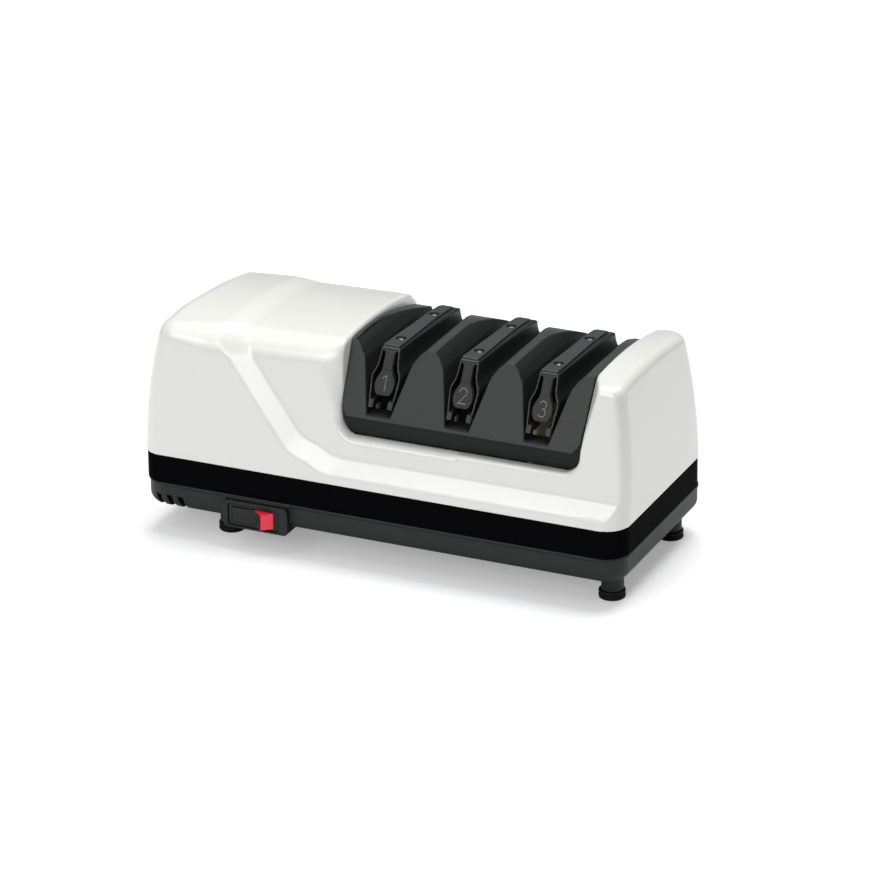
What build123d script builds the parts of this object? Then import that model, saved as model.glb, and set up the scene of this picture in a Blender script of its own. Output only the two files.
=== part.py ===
"""Electric three-stage knife sharpener: housing, guides, motor, disks, switch and clean-out hatch.

Millimetres, +Z up, +X to the right seen from the front, the front faces -Y. The origin is at the
bottom centre of the whole object, with the feet standing on Z = 0. Heights are absolute. Lengths
across the depth are counted from the middle of the housing, which lies at mid_y.
"""
import os
from math import atan, cos, degrees, radians, sin, tan

from build123d import *

os.makedirs("parts", exist_ok=True)

# ---------------------------------------------------------------- housing
body_length = 254.0
body_depth = 110.0
corner_r = 12.0
wall = 2.6
foot_height = 13.2      # underside of the tray above the table
tray_height = 13.3
band_height = 14.3
cover_height = 71.5     # up to the roof line that the bow would reach over the recess
floor = 2.6
lip_proud = 0.5         # the tray's upper rim stands out past its walls
lip_height = 1.4
tray_edge_r = 5.0
band_inset = 0.9        # the band lies this far inside the rim and the cover
tongue = 1.4            # locating ribs inside the seams
tongue_height = 2.2
fit = 0.2               # gap between fixed pieces that locate each other
seat = 0.02             # gap between pieces pressed or screwed together

# ---------------------------------------------------------------- cover form
front_lean = 8.9        # how far the front wall leans back over the cover's height
rear_lean = 9.3
end_lean = 8.0          # the ends curve in by this, most of it near the roof
form_levels = (0.0, 0.5, 1.0)   # shares of the height that the form is lofted through
crown_r = 250.0         # side view of the roof
crown_y = -8.0          # the roof's highest line
bow_r = 3333.0          # front view of the roof
bow_x = 35.0            # its highest place
bow_from = -3.0         # degrees either way that the bow is made for
bow_to = 2.0
roof_edge_r = 10.5
step_depth = 4.0        # the panel round the guides lies deeper than the rest of the front
roof_step = 1.6
sweep_angle = 52.0      # the slanted part of the step, from the horizontal
sweep_foot_x = -41.5    # where the slant's line meets the low ledge
ledge_rise = 4.7        # the low ledge above the seam
ramp_width = 8.4        # width of the sloping band between the two levels
sweep_bend_r = 22.0
roof_sweep_x = -78.0    # where the step crosses the roof, from front to back
crown_drop = 22.0       # the roof's whole fall from its highest line
loft_over = 2.0         # the walls are made this far past the roof, then cut by it
cut_over = 12.0         # how far a cutting form stands out past what it cuts

# ---------------------------------------------------------------- recess and stages
recess_left = -21.4
recess_right = 101.7
recess_floor = 64.5
recess_corner_r = 8.0
recess_draft = 2.6      # degrees that the cheeks open upwards
recess_ledge = 1.7      # ledges that the insert stands on, at the sides
insert_ledge = 1.5      # and in front and behind
shaft_room = 2.5
stage_pitch = 41.0
first_stage_x = -2.1
stage_count = 3
stage_x = [first_stage_x + i * stage_pitch for i in range(stage_count)]

# ---------------------------------------------------------------- guide insert
ledge_z = 76.6          # the ledge that the ridges stand on
ledge_lip = 1.5
ledge_thickness = 2.2
insert_inset = 9.0      # front and back of the ledge from the housing's walls
ridge_top = 107.4
ridge_lean = 28.7       # the ridges' front faces lean back from the vertical
ridge_rear_y = 39.0
ridge_rear_z = 99.4
ridge_flat_end_y = 4.0
ridge_crest_r = 1.5
insert_side = 3.0       # thickness of the insert's side walls at the recess's edge
insert_wall = 2.0
slot_half = 6.1         # half the slot's width at the ledge
slot_draft = 14.4
slot_shoulder_z = 100.5
slot_mouth_half = 18.4

# ---------------------------------------------------------------- shaft and disks
shaft_y = -17.0
shaft_z = 60.0
shaft_r = 4.0
shaft_chamfer = 0.5
running = 0.05          # radial clearance of turning and sliding fits
disk_r = 24.0
disk_inner = 4.5        # inner face of each disk from its stage's centre
rim_width = 2.0
cone_width = 5.0        # the coated face slopes back by cone_width - rim_width
cone_root_r = 9.0
hone_width = 3.4        # the stropping disks are nearly flat
hub_r = 7.5
hub_end = 11.2
disk_travel = 1.2
pin_r = 1.0
pin_offset = 7.6        # drive pin from its stage's centre
pin_half = 6.9
spring_coil_r = 5.9
spring_wire_r = 0.4
spring_turns = 4
spring_wire_sides = 6
disk_room = 1.6         # gap kept round the disks

# ---------------------------------------------------------------- guide bridges, springs, clamps
rib_half = 2.4
rib_top = 105.4
rib_bottom = 97.0
rib_bend_y = -2.0       # behind this the rib's top falls to the back
rib_fall = 4.9
bridge_rear_y = 40.0
post_half = 3.4
post_front_y = 28.0
post_height = 6.0
post_edge_r = 0.8
shoulder = 2.0          # the bridge's rear top corner is cut off by this
paddle_half = 4.9
paddle_z = 91.0
paddle_tall = 5.4
paddle_thickness = 2.6
arm_thickness = 0.9
arm_rear_y = 42.0
arm_top_half = 4.8
arm_neck_half = 5.4
arm_knee_half = 7.7
arm_knee_z = 91.0
arm_shin_half = 6.5
arm_foot_z = 80.0
arm_foot_width = 2.8
arm_foot_tall = 3.4
clamp_half = 3.0
clamp_thickness = 1.5
clamp_rear_y = 35.5
clamp_screw_r = 1.2
clamp_head_r = 2.2
clamp_head_tall = 0.9
clamp_screw_y = (-19.0, 20.5)
clamp_screw_deep = 5.0

# ---------------------------------------------------------------- motor
motor_inset = 55.0      # middle of the motor from the left end
stack_length = 30.0
stack_front_gap = 15.0  # from the housing's walls
stack_rear_gap = 25.0
stack_half_height = 26.0
rotor_r = 14.6
air_gap = 0.4
end_ring = 3.0
window_front = 4.0
window_rear = 16.0
window_half_height = 16.0
coil_build = 10.5       # winding thickness round the leg
coil_r = 4.0
coil_inset = 0.5        # the winding lies this far inside its flanges
bobbin_flange = 1.4
bobbin_wall = 0.8
cradle_bar = 8.0
cradle_gap = 3.0        # between the switch's terminals and the cradle
cradle_inset = 4.0
bolt_offset = 20.5      # motor bolts above and below the shaft
bolt_r = 2.0
bolt_head_r = 3.6
bolt_head_tall = 2.6
bracket_gap = 6.0       # between the stack and each bracket's bar
bracket_bar = 4.0
bracket_width = 15.0
bracket_hub_r = 9.5
bush_r = 6.0
bush_length = 8.0
end_bush_length = 6.0
pad_thickness = 2.0
fan_r = 22.0
fan_inset = 9.0         # fan from the left end
fan_length = 7.5
fan_hub_r = 8.0
fan_root_r = 6.5        # the blades start inside the hub
fan_blades = 8
blade_thickness = 1.4
blade_twist = 32.0
shaft_stub = 1.0        # the shaft past the fan
shaft_right = 99.6
end_bracket_x = 95.0
end_bracket_plate = 3.4
end_bracket_base = 30.0     # height of its foot
end_bracket_reach = 10.0    # the foot, past the plate
end_bracket_half = 15.0
end_screw_half = 10.0
end_screw_deep = 8.0

# ---------------------------------------------------------------- switch
boss_inset = 46.0       # boss from the left end
boss_length = 35.0
boss_bottom = 10.6
boss_top = 24.8
boss_proud = 3.0
boss_edge_r = 2.6
boss_depth = 20.0
rocker_offset = -1.0    # the rocker is a little off the boss's middle
rocker_length = 22.6
rocker_tall = 8.5
rocker_z = 17.6
rocker_gap = 0.2
rocker_rise = 4.0
rocker_v = 1.1          # the V and the tip, from the pivot
rocker_tip = 6.3
rocker_pivot_deep = 1.0
rocker_pin_r = 1.2
rocker_pin_long = 0.8
rocker_well = 9.0
rocker_body_deep = 6.5
switch_width = 26.6
switch_tall = 11.2
switch_depth = 20.0
switch_edge_r = 1.2
terminal_width = 3.2
terminal_long = 7.0
terminal_thick = 0.8
terminal_gap = 11.0

# ---------------------------------------------------------------- underside and rear
foot_r = 6.5
foot_post_r = 5.7
foot_pad = 4.3
foot_groove = 0.5
foot_stem_r = 2.6
foot_stem = 5.0
foot_left_inset = 40.7  # feet and housing screws from the ends and the walls
foot_right_inset = 11.6
foot_side_inset = 17.8
screw_left_inset = 23.0
screw_right_inset = 17.0
screw_side_inset = 17.0
screw_post_r = 4.6
screw_post_top = 32.0
screw_seat = 21.0       # the screw heads bear on this height
screw_r = 1.5
screw_head_r = 3.1
screw_head_tall = 2.0
screw_grip = 12.0       # thread above the seam
vent_count = 3
vent_pitch = 6.0
vent_width = 2.6
vent_inset = 8.0
vent_lean = 17.0
vent_top = 19.8
vent_reach = 9.0
gland_inset = 23.0
gland_z = 19.2
gland_r = 3.4
gland_wall = 1.5
gland_flange = 0.9
gland_proud = 1.6
gland_long = 6.0
hatch_left = 22.0
hatch_length = 40.0
hatch_front = -38.0
hatch_depth = 38.0
hatch_gap = 0.3
hinge_r = 1.9
hinge_pin_r = 0.9
hinge_drop = 2.2        # hinge axis below the tray's underside
hinge_strip = 4.0       # thicker strip along the hatch's rear edge
knuckle = 6.0
magnet_length = 26.0
magnet_width = 9.0
magnet_thick = 4.0
magnet_chamfer = 0.5
lever_inset = 20.0      # its pivot from the rear wall
lever_z = 33.9
lever_hub_r = 4.2
lever_hub_tall = 5.0
lever_pin_r = 1.5
lever_pin_deep = 8.0
lever_arm = 4.0
lever_tab = 16.0
lever_post_r = 3.8
pad_gap = 1.2           # dressing stick to the disks' rims
pad_width = 3.0
pad_deep = 3.2
pad_tall = 9.0
bezel_width = 26.0
bezel_tall = 9.8
bezel_deep = 8.0
lever_slot = 11.0
bezel_wall = 1.2
bezel_edge_r = 1.6

# ---------------------------------------------------------------- worked out from the above
tray_top = foot_height + tray_height
band_top = tray_top + band_height
roof_z = band_top + cover_height
floor_top = foot_height + floor
front_reach = body_depth / 2 + boss_proud + rocker_rise
rear_reach = body_depth / 2 + gland_proud
mid_y = (front_reach - rear_reach) / 2
left_end = -body_length / 2
right_end = body_length / 2
stack_x = left_end + motor_inset
stack_front = -body_depth / 2 + stack_front_gap
stack_rear = body_depth / 2 - stack_rear_gap
stack_left = stack_x - stack_length / 2
stack_right = stack_x + stack_length / 2
stack_bottom = shaft_z - stack_half_height
fan_x = left_end + fan_inset
shaft_left = fan_x - shaft_stub
boss_x = left_end + boss_inset + boss_length / 2
boss_z = (boss_bottom + boss_top) / 2
boss_face = -body_depth / 2 - boss_proud
rocker_x = boss_x + rocker_offset
cradle_front = boss_face + switch_depth + terminal_long + cradle_gap
cradle_y = (cradle_front + stack_rear) / 2
gland_x = left_end + gland_inset
lever_y = body_depth / 2 - lever_inset
insert_depth = body_depth - 2 * insert_inset
screw_top = screw_post_top + fit + screw_grip
lean_angle = degrees(atan(front_lean / (cover_height + loft_over)))
tray_rib = band_inset + wall + fit
lever_post_top = lever_z - lever_hub_tall / 2 - fit
hatch_x = hatch_left + hatch_length / 2
hatch_y = hatch_front + hatch_depth / 2
hinge_y = hatch_front + hatch_depth + hatch_gap + hinge_r
hinge_z = foot_height - hinge_drop
lug_spots = (hatch_left + knuckle / 2, hatch_left + hatch_length - knuckle / 2)
knuckle_spots = (lug_spots[0] + knuckle + hatch_gap, lug_spots[1] - knuckle - hatch_gap)
bracket_screw_x = end_bracket_x + end_bracket_plate + end_bracket_reach / 2
vent_tall = vent_top - foot_height + fit
vent_run = vent_tall * tan(radians(vent_lean))
slot_shoulder_half = slot_half + (slot_shoulder_z - ledge_z) * tan(radians(slot_draft))
foot_y = body_depth / 2 - foot_side_inset
foot_ends = (left_end + foot_left_inset, right_end - foot_right_inset)
foot_spots = [(x, y) for x in foot_ends for y in (-foot_y, foot_y)]
screw_y = body_depth / 2 - screw_side_inset
screw_ends = (left_end + screw_left_inset, right_end - screw_right_inset)
screw_spots = [(x, y) for x in screw_ends for y in (-screw_y, screw_y)]
bracket_spots = [(bracket_screw_x, shaft_y + y) for y in (-end_screw_half, end_screw_half)]
lever_x = stage_x[-1]
far = body_length       # longer than anything that is cut


def level(z):
    """Horizontal plane at height z, centred on the housing."""
    return Plane((0, mid_y, z))


def side(x):
    """Plane across the length at x, seen from the right: local X runs to the back, local Y up."""
    return Plane((x, mid_y, 0), x_dir=(0, 1, 0), z_dir=(1, 0, 0))


def front(y):
    """Upright plane facing the front at depth y: local X runs to the right, local Y up."""
    return Plane((0, mid_y + y, 0), x_dir=(1, 0, 0), z_dir=(0, -1, 0))


def leaning(y, z, angle, x=0.0):
    """Plane that faces the front and leans back by angle, through depth y and height z."""
    a = radians(angle)
    return Plane((x, mid_y + y, z), x_dir=(1, 0, 0), z_dir=(0, -cos(a), sin(a)))


def on_shaft(x):
    """Plane across the shaft at x."""
    return Plane((x, mid_y + shaft_y, shaft_z), x_dir=(0, 1, 0), z_dir=(1, 0, 0))


def along_shaft(x):
    """Plane through the shaft's axis: local X runs along it from x, local Y is the radius."""
    return Plane((x, mid_y + shaft_y, shaft_z), x_dir=(1, 0, 0), z_dir=(0, -1, 0))


def outline(inset, mode=Mode.ADD):
    """The housing's plan outline, drawn in by inset."""
    return RectangleRounded(
        body_length - 2 * inset, body_depth - 2 * inset, corner_r - inset, mode=mode
    )


# ================================================================ tray
with BuildPart() as base_tray:
    with BuildSketch(level(foot_height)):
        outline(lip_proud)
    extrude(amount=tray_height)
    fillet(base_tray.faces().sort_by(Axis.Z)[0].edges(), radius=tray_edge_r)
    with BuildSketch(level(tray_top - lip_height)):
        outline(0)
    extrude(amount=lip_height)
    with BuildSketch(level(floor_top)):
        outline(lip_proud + wall)
    extrude(amount=tray_height, mode=Mode.SUBTRACT)
    # locating rib that stands up inside the band
    with BuildSketch(level(floor_top)):
        outline(tray_rib)
        outline(tray_rib + tongue, mode=Mode.SUBTRACT)
    extrude(amount=tray_top - floor_top + tongue_height)
    # feet, screw posts, the lever's post and the end bracket's posts
    with BuildSketch(level(foot_pad)):
        with Locations(*foot_spots):
            Circle(foot_post_r)
    extrude(amount=floor_top - foot_pad)
    with BuildSketch(level(foot_height)):
        with Locations(*screw_spots):
            Circle(screw_post_r)
    extrude(amount=screw_post_top - foot_height)
    with BuildSketch(level(foot_height)):
        with Locations((lever_x, lever_y)):
            Circle(lever_post_r)
    extrude(amount=lever_post_top - foot_height)
    with BuildSketch(level(foot_height)):
        with Locations(*bracket_spots):
            Circle(screw_post_r)
    extrude(amount=end_bracket_base - foot_height)
    # cradle bars under the motor
    with BuildSketch(level(foot_height)):
        with Locations(
            (stack_left + cradle_inset, cradle_y), (stack_right - cradle_inset, cradle_y)
        ):
            Rectangle(cradle_bar, stack_rear - cradle_front)
    extrude(amount=stack_bottom - pad_thickness - foot_height)
    # switch boss
    with BuildSketch(front(boss_face)):
        with Locations((boss_x, boss_z)):
            RectangleRounded(boss_length, boss_top - boss_bottom, boss_edge_r)
    extrude(amount=-boss_depth)
    with BuildSketch(front(boss_face)):
        with Locations((rocker_x, rocker_z)):
            RectangleRounded(switch_width + 2 * fit, switch_tall + 2 * fit, switch_edge_r + fit)
    extrude(amount=-boss_depth, mode=Mode.SUBTRACT)
    # holes for the feet, the housing screws, the bracket screws and the lever's pin
    with BuildSketch(level(foot_pad)):
        with Locations(*foot_spots):
            Circle(foot_stem_r + seat)
    extrude(amount=foot_stem + fit, mode=Mode.SUBTRACT)
    with BuildSketch(level(foot_height)):
        with Locations(*screw_spots):
            Circle(screw_head_r + fit)
    extrude(amount=screw_seat - foot_height, mode=Mode.SUBTRACT)
    with BuildSketch(level(screw_seat)):
        with Locations(*screw_spots):
            Circle(screw_r + fit)
    extrude(amount=screw_post_top - screw_seat, mode=Mode.SUBTRACT)
    with BuildSketch(level(end_bracket_base)):
        with Locations(*bracket_spots):
            Circle(screw_r + seat)
    extrude(amount=-end_screw_deep, mode=Mode.SUBTRACT)
    with BuildSketch(level(lever_post_top)):
        with Locations((lever_x, lever_y)):
            Circle(lever_pin_r + seat)
    extrude(amount=-lever_pin_deep, mode=Mode.SUBTRACT)
    # clean-out opening and its hinge lugs
    with BuildSketch(level(foot_height)):
        with Locations((hatch_x, hatch_y)):
            Rectangle(hatch_length + 2 * hatch_gap, hatch_depth + 2 * hatch_gap)
    extrude(amount=floor, mode=Mode.SUBTRACT)
    for lug_x in lug_spots:
        with BuildSketch(side(lug_x - knuckle / 2)):
            with Locations((hinge_y, hinge_z)):
                Circle(hinge_r)
            with Locations((hinge_y + hinge_r / 2, foot_height)):
                Rectangle(hinge_r, 2 * hinge_drop)
            with Locations((hinge_y, hinge_z)):
                Circle(hinge_pin_r + seat, mode=Mode.SUBTRACT)
        extrude(amount=knuckle)
    # air slots in the front left corner, leaning to the right on the way down
    with BuildSketch(front(-body_depth / 2)):
        for i in range(vent_count):
            left = left_end + vent_inset + i * vent_pitch
            with BuildLine():
                Polyline(
                    (left, vent_top),
                    (left + vent_width, vent_top),
                    (left + vent_width + vent_run, vent_top - vent_tall),
                    (left + vent_run, vent_top - vent_tall),
                    close=True,
                )
            make_face()
    extrude(amount=-vent_reach, mode=Mode.SUBTRACT)
    # cord inlet
    with BuildSketch(front(body_depth / 2)):
        with Locations((gland_x, gland_z)):
            Circle(gland_r + gland_wall + seat)
    extrude(amount=tray_rib + 2 * tongue, mode=Mode.SUBTRACT)
base_tray.part.label = "base_tray"
export_step(base_tray.part, "parts/base_tray.step")

# ================================================================ band
with BuildPart() as trim_band:
    with BuildSketch(level(tray_top)):
        outline(band_inset)
        outline(band_inset + wall, mode=Mode.SUBTRACT)
    extrude(amount=band_height)
    with BuildSketch(level(tray_top + tongue_height + fit)):
        outline(band_inset + wall)
        outline(band_inset + wall + tongue, mode=Mode.SUBTRACT)
    extrude(amount=band_height - fit)
    with BuildSketch(front(body_depth / 2)):
        with Locations((lever_x, lever_z)):
            RectangleRounded(bezel_width, bezel_tall, bezel_edge_r)
    extrude(amount=cut_over, mode=Mode.SUBTRACT)
trim_band.part.label = "trim_band"
export_step(trim_band.part, "parts/trim_band.step")


# ================================================================ cover
bow_axis = Axis((bow_x, 0, roof_z - bow_r), (0, 1, 0))
bow_start = Plane(
    (bow_x, 0, roof_z - bow_r),
    x_dir=(0, 1, 0),
    z_dir=(cos(radians(bow_from)), 0, -sin(radians(bow_from))),
)


def cover_form(inset, front_drop=0.0, roof_drop=0.0):
    """The cover's outer form, drawn in by inset all round and by the drops at front and roof."""
    low_front = -body_depth / 2 + inset + front_drop
    low_rear = body_depth / 2 - inset
    half = body_length / 2 - inset
    with BuildPart() as form:
        for share in form_levels:
            front_y = low_front + front_lean * share
            rear_y = low_rear - rear_lean * share
            with BuildSketch(level(band_top + share * (cover_height + loft_over))):
                with Locations((0, (front_y + rear_y) / 2)):
                    RectangleRounded(
                        2 * (half - end_lean * share**2), rear_y - front_y, corner_r - inset
                    )
        loft()
        with BuildSketch(bow_start):
            with Locations((mid_y + crown_y, bow_r - crown_r)):
                Circle(crown_r - inset - roof_drop)
        revolve(axis=bow_axis, revolution_arc=bow_to - bow_from, mode=Mode.INTERSECT)
        fillet(form.faces().sort_by(Axis.Z)[-1].edges(), radius=roof_edge_r - inset)
    return form.part


def sweep_outline(shift):
    """Front outline of the lowered panel, with its lower left border moved in by shift."""
    x = sweep_foot_x + shift * tan(radians(sweep_angle / 2))
    y = ledge_rise + shift
    run = cover_height / tan(radians(sweep_angle))
    right = body_length / 2 + cut_over
    with BuildSketch() as region:
        with BuildLine():
            border = FilletPolyline(
                (x - run, y + cover_height), (x, y), (right, y), radius=sweep_bend_r - shift
            )
            Polyline(border @ 1, (right, y + cover_height), border @ 0)
        make_face()
    return region.sketch


def recess_outline(grow):
    """Front view of the recess for the guides, with its sides opening upwards, grown outwards."""
    rise = roof_z + cut_over - recess_floor
    spread = rise * tan(radians(recess_draft))
    with BuildSketch() as region:
        with BuildLine():
            Polyline(
                (recess_left - grow, recess_floor - grow),
                (recess_right + grow, recess_floor - grow),
                (recess_right + grow + spread, recess_floor + rise),
                (recess_left - grow - spread, recess_floor + rise),
                close=True,
            )
        make_face()
        fillet(region.vertices().group_by(Axis.Y)[0], radius=recess_corner_r + grow)
    return region.sketch


front_wall = leaning(-body_depth / 2, band_top, lean_angle)
with BuildPart() as step_cut:
    with BuildSketch(front_wall):
        add(sweep_outline(0))
    with BuildSketch(front_wall.offset(-step_depth)):
        add(sweep_outline(ramp_width))
    loft(ruled=True)
    with BuildSketch(front_wall):
        add(sweep_outline(0))
    extrude(amount=cut_over)
    with BuildSketch(front_wall.offset(-step_depth)):
        add(sweep_outline(ramp_width))
    extrude(amount=-roof_edge_r)

with BuildPart() as roof_cut:
    with BuildSketch(level(roof_z - crown_drop)):
        behind = -body_depth / 2 + step_depth + roof_edge_r
        with Locations((roof_sweep_x, behind)):
            Rectangle(body_length, body_depth, align=(Align.MIN, Align.MIN))
    extrude(amount=crown_drop + cut_over)

with BuildPart() as hollow:
    add(cover_form(wall, step_depth, roof_step))
    with BuildSketch(front(-body_depth)):
        add(recess_outline(wall))
    extrude(amount=-far, mode=Mode.SUBTRACT)

with BuildPart() as cover_posts:
    with BuildSketch(level(screw_post_top + fit)):
        with Locations(*screw_spots):
            Circle(screw_post_r)
    extrude(amount=roof_z - screw_post_top)
    add(cover_form(wall / 2, step_depth, roof_step), mode=Mode.INTERSECT)
    with BuildSketch(front(-body_depth)):
        add(recess_outline(0))
    extrude(amount=-far, mode=Mode.SUBTRACT)

with BuildPart() as top_cover:
    add(cover_form(0))
    add(step_cut.part, mode=Mode.SUBTRACT)
    add(roof_cut.part, mode=Mode.SUBTRACT)
    add(cover_form(0, step_depth, roof_step))
    with BuildSketch(front(-body_depth)):
        add(recess_outline(0))
    extrude(amount=-far, mode=Mode.SUBTRACT)
    add(hollow.part, mode=Mode.SUBTRACT)
    add(cover_posts.part)
    # room for the band's rib, openings for the disks and the shaft, and screw holes
    with BuildSketch(level(band_top)):
        outline(band_inset + wall - fit)
        with Locations(*screw_spots):
            Circle(screw_post_r, mode=Mode.SUBTRACT)
    extrude(amount=tongue_height + fit, mode=Mode.SUBTRACT)
    with BuildSketch(level(recess_floor - 2 * wall)):
        with Locations(((recess_left + recess_right) / 2, 0)):
            Rectangle(
                recess_right - recess_left - 2 * recess_ledge,
                insert_depth - 2 * (ledge_lip + insert_ledge),
            )
    extrude(amount=3 * wall, mode=Mode.SUBTRACT)
    with BuildSketch(side(recess_left - 3 * wall)):
        with Locations((shaft_y, shaft_z)):
            Circle(shaft_r + shaft_room)
        with Locations((shaft_y, shaft_z - wall)):
            Rectangle(2 * (shaft_r + shaft_room), 2 * wall)
    extrude(amount=6 * wall, mode=Mode.SUBTRACT)
    with BuildSketch(level(screw_post_top + fit)):
        with Locations(*screw_spots):
            Circle(screw_r + seat)
    extrude(amount=screw_grip, mode=Mode.SUBTRACT)
top_cover.part.label = "top_cover"
export_step(top_cover.part, "parts/top_cover.step")

# ================================================================ guide insert
insert_front = -insert_depth / 2
skirt_front = insert_front + ledge_lip
ridge_front_y = insert_front + (ridge_top - ledge_z) * tan(radians(ridge_lean))
insert_bottom = recess_floor + fit


def insert_profile():
    """Side view of the insert: skirt, ledge and ridges."""
    with BuildSketch() as region:
        with BuildLine():
            Polyline(
                (skirt_front, insert_bottom),
                (skirt_front, ledge_z - ledge_thickness),
                (insert_front, ledge_z - ledge_thickness),
                (insert_front, ledge_z),
                (ridge_front_y, ridge_top),
                (ridge_flat_end_y, ridge_top),
                (ridge_rear_y, ridge_rear_z),
                (-insert_front, ledge_z),
                (-insert_front, ledge_z - ledge_thickness),
                (-skirt_front, ledge_z - ledge_thickness),
                (-skirt_front, insert_bottom),
                close=True,
            )
        make_face()
        crest = region.vertices().group_by(Axis.Y)[-1]
        fillet(crest, radius=ridge_crest_r)
    return region.sketch


with BuildPart() as guide_insert:
    with BuildSketch(side(recess_left - cut_over)):
        add(insert_profile())
    extrude(amount=recess_right - recess_left + 2 * cut_over)
    with BuildSketch(front(-body_depth / 2)):
        add(recess_outline(-fit))
    extrude(amount=-body_depth, mode=Mode.INTERSECT)
    # knife slots: V-shaped between the ridges, one wide slot for each stage
    with BuildSketch(front(-body_depth / 2)):
        for x in stage_x:
            with BuildLine():
                Polyline(
                    (x - slot_half, ledge_z),
                    (x + slot_half, ledge_z),
                    (x + slot_shoulder_half, slot_shoulder_z),
                    (x + slot_mouth_half, ridge_top),
                    (x + slot_mouth_half, ridge_top + cut_over),
                    (x - slot_mouth_half, ridge_top + cut_over),
                    (x - slot_mouth_half, ridge_top),
                    (x - slot_shoulder_half, slot_shoulder_z),
                    close=True,
                )
            make_face()
    extrude(amount=-body_depth, mode=Mode.SUBTRACT)
    # hollow under the ledge
    with BuildSketch(level(insert_bottom)):
        with Locations(((recess_left + recess_right) / 2, 0)):
            RectangleRounded(
                recess_right - recess_left - 2 * insert_side,
                2 * (-skirt_front - insert_wall),
                insert_wall,
            )
    extrude(amount=ledge_z - ledge_thickness - insert_bottom, mode=Mode.SUBTRACT)
    # rooms for the disks, up through the ledge and into the ridges' roots
    for x in stage_x:
        with BuildSketch(on_shaft(x - hub_end)):
            Circle(disk_r + disk_room)
        extrude(amount=2 * hub_end, mode=Mode.SUBTRACT)
guide_insert.part.label = "guide_insert"
export_step(guide_insert.part, "parts/guide_insert.step")


# ================================================================ guides of each stage
def rib_line(y):
    """Height of the rib's top at depth y."""
    return rib_top - max(0, y - rib_bend_y) * tan(radians(rib_fall))


def rib_seat(x, y):
    """Plane on the rib's top at depth y."""
    lean = radians(rib_fall) if y > rib_bend_y else 0
    return Plane((x, mid_y + y, rib_line(y)), x_dir=(1, 0, 0), z_dir=(0, sin(lean), cos(lean)))


def on_ridge_face(z):
    """Depth of the ridges' leaning front faces at height z."""
    return insert_front + (z - ledge_z) * tan(radians(ridge_lean))


def guide_bridge(x):
    """The rib over a stage, with the numbered paddle in front and the post behind."""
    ridge_face = leaning(insert_front, ledge_z, ridge_lean, x)
    rise = cos(radians(ridge_lean))
    with BuildPart() as bridge:
        with BuildSketch(side(x - rib_half)):
            with BuildLine():
                Polyline(
                    (on_ridge_face(rib_bottom), rib_bottom),
                    (on_ridge_face(rib_top), rib_top),
                    (rib_bend_y, rib_top),
                    (bridge_rear_y - shoulder, rib_line(bridge_rear_y - shoulder)),
                    (bridge_rear_y, rib_line(bridge_rear_y) - shoulder),
                    (bridge_rear_y, ledge_z),
                    (post_front_y, ledge_z),
                    (post_front_y, rib_bottom),
                    close=True,
                )
            make_face()
        extrude(amount=2 * rib_half)
        with BuildSketch(ridge_face):
            with Locations((0, (paddle_z - ledge_z) / rise)):
                Ellipse(paddle_half, paddle_tall)
            with Locations((0, (paddle_z + rib_bottom) / 2 / rise - ledge_z / rise)):
                Rectangle(2 * rib_half, (rib_bottom - paddle_z) / rise + rib_half)
        extrude(amount=-paddle_thickness)
        with BuildSketch(level(ledge_z)):
            with Locations((x, (post_front_y + bridge_rear_y) / 2)):
                RectangleRounded(2 * post_half, bridge_rear_y - post_front_y, post_edge_r)
        extrude(amount=post_height)
        for y in clamp_screw_y:
            with BuildSketch(rib_seat(x, y)):
                Circle(clamp_screw_r + seat)
            extrude(amount=-clamp_screw_deep, mode=Mode.SUBTRACT)
    return bridge.part


def arm_side_view():
    """Side view of a guide spring: parallel to the ridges' fronts, rounded off behind."""
    top = rib_top + arm_thickness
    corner_y = arm_rear_y - 2 * shoulder
    with BuildSketch() as region:
        with BuildLine():
            Polyline(
                (on_ridge_face(arm_foot_z), arm_foot_z),
                (on_ridge_face(top), top),
                (rib_bend_y, top),
                (corner_y, rib_line(corner_y) + arm_thickness),
                (arm_rear_y, rib_line(arm_rear_y) - 2 * shoulder),
                (arm_rear_y, arm_foot_z),
                close=True,
            )
        make_face()
    return region.sketch


def arm_front_view(x):
    """Front view of the bent sheet's two arms, with their turned-in feet."""
    top = rib_top + arm_thickness
    with BuildSketch() as region:
        with BuildLine():
            Polyline(
                (x + arm_top_half - arm_thickness, top),
                (x + arm_top_half, top),
                (x + arm_neck_half, rib_bottom),
                (x + arm_knee_half, arm_knee_z),
                (x + arm_shin_half, arm_foot_z),
                (x + arm_shin_half - arm_foot_width, arm_foot_z),
                (x + arm_shin_half - arm_foot_width, arm_foot_z + arm_foot_tall),
                (x + arm_shin_half - arm_thickness, arm_foot_z + arm_foot_tall),
                (x + arm_knee_half - arm_thickness, arm_knee_z),
                (x + arm_neck_half - arm_thickness, rib_bottom),
                close=True,
            )
        make_face()
        mirror(about=Plane.YZ.offset(x))
    return region.sketch


def strip_side_view(low, high, rear_y):
    """Side view of a strip that lies over the rib's top, between two heights above it."""
    with BuildSketch() as region:
        with BuildLine():
            Polyline(
                (on_ridge_face(rib_top + low), rib_top + low),
                (on_ridge_face(rib_top + low), rib_top + high),
                (rib_bend_y, rib_top + high),
                (rear_y, rib_line(rear_y) + high),
                (rear_y, rib_line(rear_y) + low),
                (rib_bend_y, rib_top + low),
                close=True,
            )
        make_face()
    return region.sketch


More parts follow.
